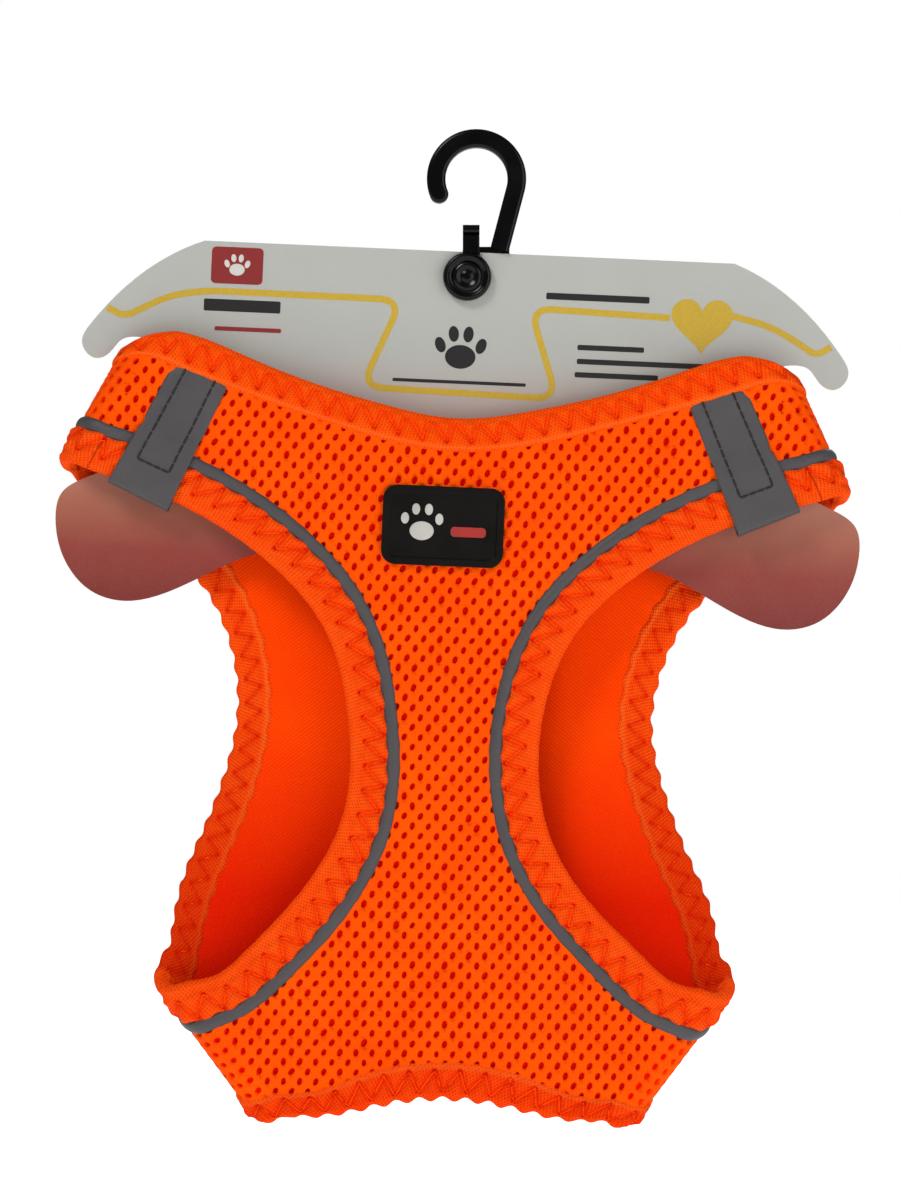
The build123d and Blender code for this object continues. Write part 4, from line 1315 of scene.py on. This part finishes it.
edge_tape(
    "neck", SHOULDER, SHOULDER_NECK, NECK_LOW, NECK_TOP, REAR_NECK_TOP, REAR_EDGE_W,
    NECK_TAPE, NECK_STITCH, (0.0, 0.0, False),
)
edge_tape(
    "hem", SIDE, SIDE_HEM, HEM_TOP, HEM_LOW, REAR_HEM_LOW, -REAR_EDGE_W,
    HEM_TAPE, HEM_STITCH, (0.2, 1.1, False),
)
for name, side in (("left", -1), ("right", 1)):
    leg = leg_band(
        (FRONT_LINE, FRONT_HOLE), (REAR_LINE, REAR_HOLE), SHOULDER_BINDING, SIDE_BINDING, side,
    )
    leg_tape = tape_piece(
        f"{name}_leg_tape", leg, LEG_TAPE, LEG_STITCH, LEG_INSIDE, (0.9, 0.9, True),
    )
    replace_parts(leg_tape, f"{name}_leg_binding")
    zigzag_thread(f"{name}_leg_stitching", leg, LEG_STITCH, TAPE_TOP)
    zigzag_thread(f"{name}_leg_inner_stitching", leg, LEG_INSIDE, TAPE_UNDER)
    cord = leg_band(
        (FRONT_PIPING, FRONT_LINE), (REAR_PIPING, REAR_LINE), SHOULDER_PIPING, SIDE_PIPING, side,
    )
    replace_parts(piping_piece(f"{name}_leg_cord", cord), f"{name}_leg_piping")
flap_end_lines = ([(FLAP_END + edge, v) for v in FLAP_END_SPAN] for edge in FLAP_END_TAPE)
flap_end = Band([flat_span(*flap_end_lines, 1, True, 260, jogged=True)], False)
tape_piece(
    "right_flap_end_tape", flap_end, NECK_TAPE, FLAP_END_STITCH, FLAP_END_STITCH, (0.0, 0.3, False),
)
zigzag_thread("right_flap_end_stitching", flap_end, FLAP_END_STITCH, TAPE_TOP)


# ---- reflective tabs ----
def tab_surface(side, p, q):
    """World points of a tab: p across it, q down it; past 1 it turns under the band's edge.

    It rises over the leg tape, its top is tucked under the neck tape's lip, and it is creased."""
    a, b, c, d = (np.array(corner) for corner in TAB_CORNERS)
    q_flat = np.minimum(q, 1.0)
    top, low = a + (b - a) * p[..., None], d + (c - d) * p[..., None]
    at = top + (low - top) * q_flat[..., None]
    way = (low - top) / np.linalg.norm(low - top, axis=-1, keepdims=True)
    r = TAPE_TOP + TAB_RISE * ease((q_flat - 0.42) / 0.2) - 0.5 * np.exp(-(q_flat / 0.06) ** 2)
    turn = np.clip((q - 1.0) / (TAB_TURN_END - 1.0), 0, 1) * math.pi
    under = np.clip(q - TAB_TURN_END, 0, None) * TAB_TUCK
    at = at + way * (TAB_LIP * np.sin(turn) - under)[..., None]
    r = r - (TAPE_TOP + TAB_RISE - TAB_UNDER) / 2 * (1 - np.cos(turn))
    crease = 0.18 * np.sin(9 * q + 4 * p) + 0.14 * np.sin(19 * q - 7 * p)
    drop = 0.35 * np.clip((np.abs(2 * p - 1) - 0.6) / 0.4, 0, 1) ** 2
    r = r - drop * np.clip((0.5 - q) / 0.2, 0, 1)
    base = sway(side * at[..., 0], at[..., 1])
    normal = np.broadcast_to([0.0, -1.0, 0.0], base.shape[:-1] + (3,))
    return lay(base, normal, r + crease * np.cos(turn))


def tab_piece(name, side):
    rows = np.concatenate([
        np.linspace(0, 1, 44), np.linspace(1, TAB_TURN_END, 10)[1:],
        np.linspace(TAB_TURN_END, TAB_END, 8)[1:],
    ])
    q, p = np.meshgrid(rows, np.linspace(0, 1, 26), indexing="ij")
    pinch = 0.035 * np.exp(-((q - 0.5) / 0.06) ** 2)
    p = p + pinch * np.where(p > 0.5, -1, 0.4) * np.abs(p - 0.5) * 2
    points = tab_surface(side, p, q).reshape(-1, 3)
    faces = [face[::-side] for face in grid_faces(*p.shape)]
    piece = new_piece(name, points, faces, REFLECTIVE, "harness", "reflective")
    thicken(piece, TAB_THICK)
    return piece


def tab_stitches(name, side):
    """A U of separate black stitches inside a tab's edges."""
    inset, cross, pitch = 0.23, 0.77, 2.6
    radius, arch, sunk = 0.34, 0.14, 0.08
    foot, other = (inset, cross), (1 - inset, cross)
    paths = []
    for (p0, q0), (p1, q1) in (((inset, 0.0), foot), ((1 - inset, 0.0), other), (foot, other)):
        count = round(math.hypot((p1 - p0) * TAB_W, (q1 - q0) * TAB_LENGTH) / pitch)
        for k in range(count):
            share = np.linspace((k + 0.08) / count, (k + 0.92) / count, 7)
            p, q = p0 + (p1 - p0) * share, q0 + (q1 - q0) * share
            points = tab_surface(side, p, q)
            points[:, 1] -= (arch * np.sin(np.linspace(0, math.pi, 7)) - sunk) * MM
            paths.append((points, False))
    thread_piece(name, paths, radius * MM, BLACK_THREAD, "reflective")


for name, side in (("left", -1), ("right", 1)):
    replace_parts(tab_piece(f"{name}_tab", side), f"{name}_reflective_tab")
    tab_stitches(f"{name}_tab_stitching", side)

# ---- label, snap cap, buckle and its strap ----
softened("label_base", "chest_label", "harness", RUBBER, MOULDED_EDGE)
motif = softened("label_motif", "chest_label_motif", "harness", WHITE_PRINT, PRINT_EDGE)
motif.data.materials.append(RED_PRINT)
for face in motif.data.polygons:
    face.material_index = 1 if face.center.x > LABEL_MIDDLE_X else 0
snap_disc = lathe(
    "hanger_snap_disc", SNAP_AT, SNAP_BACK_Y, SNAP_PROFILE, GLOSS_BLACK, "snap", "black_plastic",
)
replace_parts(snap_disc, "snap_cap")
left_x, right_x, low_z, high_z = SNAP_STRAP
middle_z = (low_z + high_z) / 2
strap_corners = [
    (left_x - SNAP_STRAP_FLARE, low_z), (right_x + SNAP_STRAP_FLARE, low_z), (right_x, middle_z),
    (right_x, high_z), (left_x, high_z), (left_x, middle_z),
]
snap_strap = plate(
    "hanger_snap_strap", np.array(strap_corners) * MM, (SNAP_BACK_Y - SNAP_STRAP_THICK) * MM,
    SNAP_BACK_Y * MM, GLOSS_BLACK, "snap", "black_plastic",
)
bevelled(snap_strap, MOULDED_EDGE)
for node, body in (
    ("buckle_socket", "harness"), ("buckle_plug", "plug"),
    ("upper_plug_arm", "upper_arm"), ("lower_plug_arm", "lower_arm"),
):
    softened(node, f"{node}_moulding", body, BUCKLE_BLACK, MOULDED_EDGE)


def strap_plate(name, u, length, width, depth):
    """A raised detail on the buckle's rear face, centred across the strap."""
    sunk = 0.4
    face = max(v.co.y for v in bpy.data.objects["buckle_socket"].data.vertices)
    corners = box_outline(u, STRAP_V, length, width, 1.2)
    raised = plate(
        name, sway(corners[:, 0], corners[:, 1]) * MM, face - sunk * MM, face + depth * MM,
        BUCKLE_BLACK, "harness", "buckle_plastic",
    )
    bevelled(raised, 0.3)


strap_plate("buckle_raised_panel", 0.0, 21.0, 18.0, 0.5)
for number, u in enumerate((-5.0, -1.8, 1.4, 4.6), 1):
    strap_plate(f"buckle_grip_{number}", u, 1.3, 12.5, 1.0)


def strap_stitches(name, node, body, corners):
    """Separate stitches along a sewn box and its diagonals, lying on a webbing's rear face."""
    pitch, arch, radius = 2.3, 0.12, 0.24
    tree = BVHTree.FromObject(bpy.data.objects[node], bpy.context.evaluated_depsgraph_get())
    lines = [*zip(corners, corners[1:] + corners[:1]), corners[::2], corners[1::2]]
    paths = []
    for a, b in lines:
        a, b = np.array(a), np.array(b)
        count = round(np.linalg.norm(b - a) / pitch)
        for k in range(count):
            share = np.linspace((k + 0.1) / count, (k + 0.9) / count, 6)
            u, w = (a + (b - a) * share[:, None]).T
            x, z = sway(u, STRAP_V + w).T * MM
            hits = [tree.ray_cast((px, 0.05, pz), (0, -1, 0))[0] for px, pz in zip(x, z)]
            if all(hits):
                rise = arch * MM * np.sin(math.pi * np.arange(6) / 5)
                paths.append((columns(x, [hit.y for hit in hits] + rise, z), False))
    return thread_piece(name, paths, radius * MM, THREAD, "webbing", body)


for side, name, node, body in (
    (-1, "socket", "socket_webbing", "harness"), (1, "plug", "plug_webbing", "plug"),
):
    near, far, half = side * SEWN_BOX["near"], side * SEWN_BOX["far"], SEWN_BOX["half"]
    box = [(near, -half), (far, -half), (far, half), (near, half)]
    strap_stitches(f"{name}_webbing_stitching", node, body, box)

# ---- CAD nodes shown as they are ----
for material, nodes in (
    (STEEL, ("left_d_ring", "right_d_ring")), (PILE, ("loop_tape", "hook_tape")),
    (WEBBING, ("socket_webbing", "plug_webbing", "left_ring_loop", "right_ring_loop")),
    (GLOSS_BLACK, ("hanger_hook",)), (CARD, ("hanger_card",)),
):
    for node in nodes:
        finish_node(node, material)

# ---- print on the card ----
GOLD_LINE = [
    (-106.4, -43.2), (-101.0, -45.6), (-88.0, -38.8), (-77.0, -36.8), (-18.2, -37.1),
    (-29.2, -63.6), (29.6, -64.8), (20.3, -37.8), (62.4, -39.0),
]
GOLD_W, GOLD_BEND = 2.0, 7.0
GOLD_TAIL = [(81.0, -37.6), (91.5, -40.0), (99.0, -43.6), (106.6, -48.4), (111.0, -45.6)]
for name, line in (("card_gold_line", GOLD_LINE), ("card_gold_tail", GOLD_TAIL)):
    print_on_card(name, ribbon_outline(rounded(line, GOLD_BEND), GOLD_W), GOLD_INK)


def heart_outline(u, v, width):
    turn = circle(64)
    x = 16 * np.sin(turn) ** 3
    y = 13 * np.cos(turn) - 5 * np.cos(2 * turn) - 2 * np.cos(3 * turn) - np.cos(4 * turn)
    return columns(u + x * width / 32, v + y * width / 32)


def oval(u, v, a, b, tilt=0.0):
    turn = circle(36)
    x, y = a * np.cos(turn), b * np.sin(turn)
    c, s = math.cos(tilt), math.sin(tilt)
    return columns(u + x * c - y * s, v + x * s + y * c)


def print_paw(name, u, v, size, material, layer=1):
    """A plain paw mark: one pad and four toes."""
    print_on_card(f"{name}_pad", oval(u, v - 0.14 * size, 0.27 * size, 0.21 * size), material, layer)
    toes = ((-0.36, 0.06, 0.35), (-0.13, 0.26, 0.1), (0.13, 0.26, -0.1), (0.36, 0.06, -0.35))
    for number, (du, dv, tilt) in enumerate(toes, 1):
        toe = oval(u + du * size, v + dv * size, 0.09 * size, 0.14 * size, tilt)
        print_on_card(f"{name}_toe_{number}", toe, material, layer)


print_on_card("card_heart", heart_outline(72.0, -40.0, 18.5), GOLD_INK, 2)
print_paw("card_middle_paw", 0.0, -51.0, 17.0, BLACK_INK)
print_on_card("card_middle_line", box_outline(0.0, -61.0, 40.0, 1.0, 0.4), BLACK_INK)
print_on_card("card_badge", box_outline(-68.0, -29.0, 15.5, 11.0, 1.6), RED_INK, 2)
print_paw("card_badge_paw", -68.0, -29.0, 8.5, WHITE_INK, 3)
for number, (u, v, width, height, ink) in enumerate([
    (-66.0, -41.0, 23.0, 3.6, BLACK_INK), (-64.0, -48.0, 20.0, 1.3, RED_INK),
    (40.5, -34.0, 31.0, 2.0, BLACK_INK), (45.0, -49.0, 20.0, 1.6, BLACK_INK),
    (55.0, -53.2, 40.0, 1.6, BLACK_INK), (47.0, -57.2, 25.0, 1.6, BLACK_INK),
], 1):
    print_on_card(f"card_bar_{number}", box_outline(u, v, width, height, 0.5), ink)
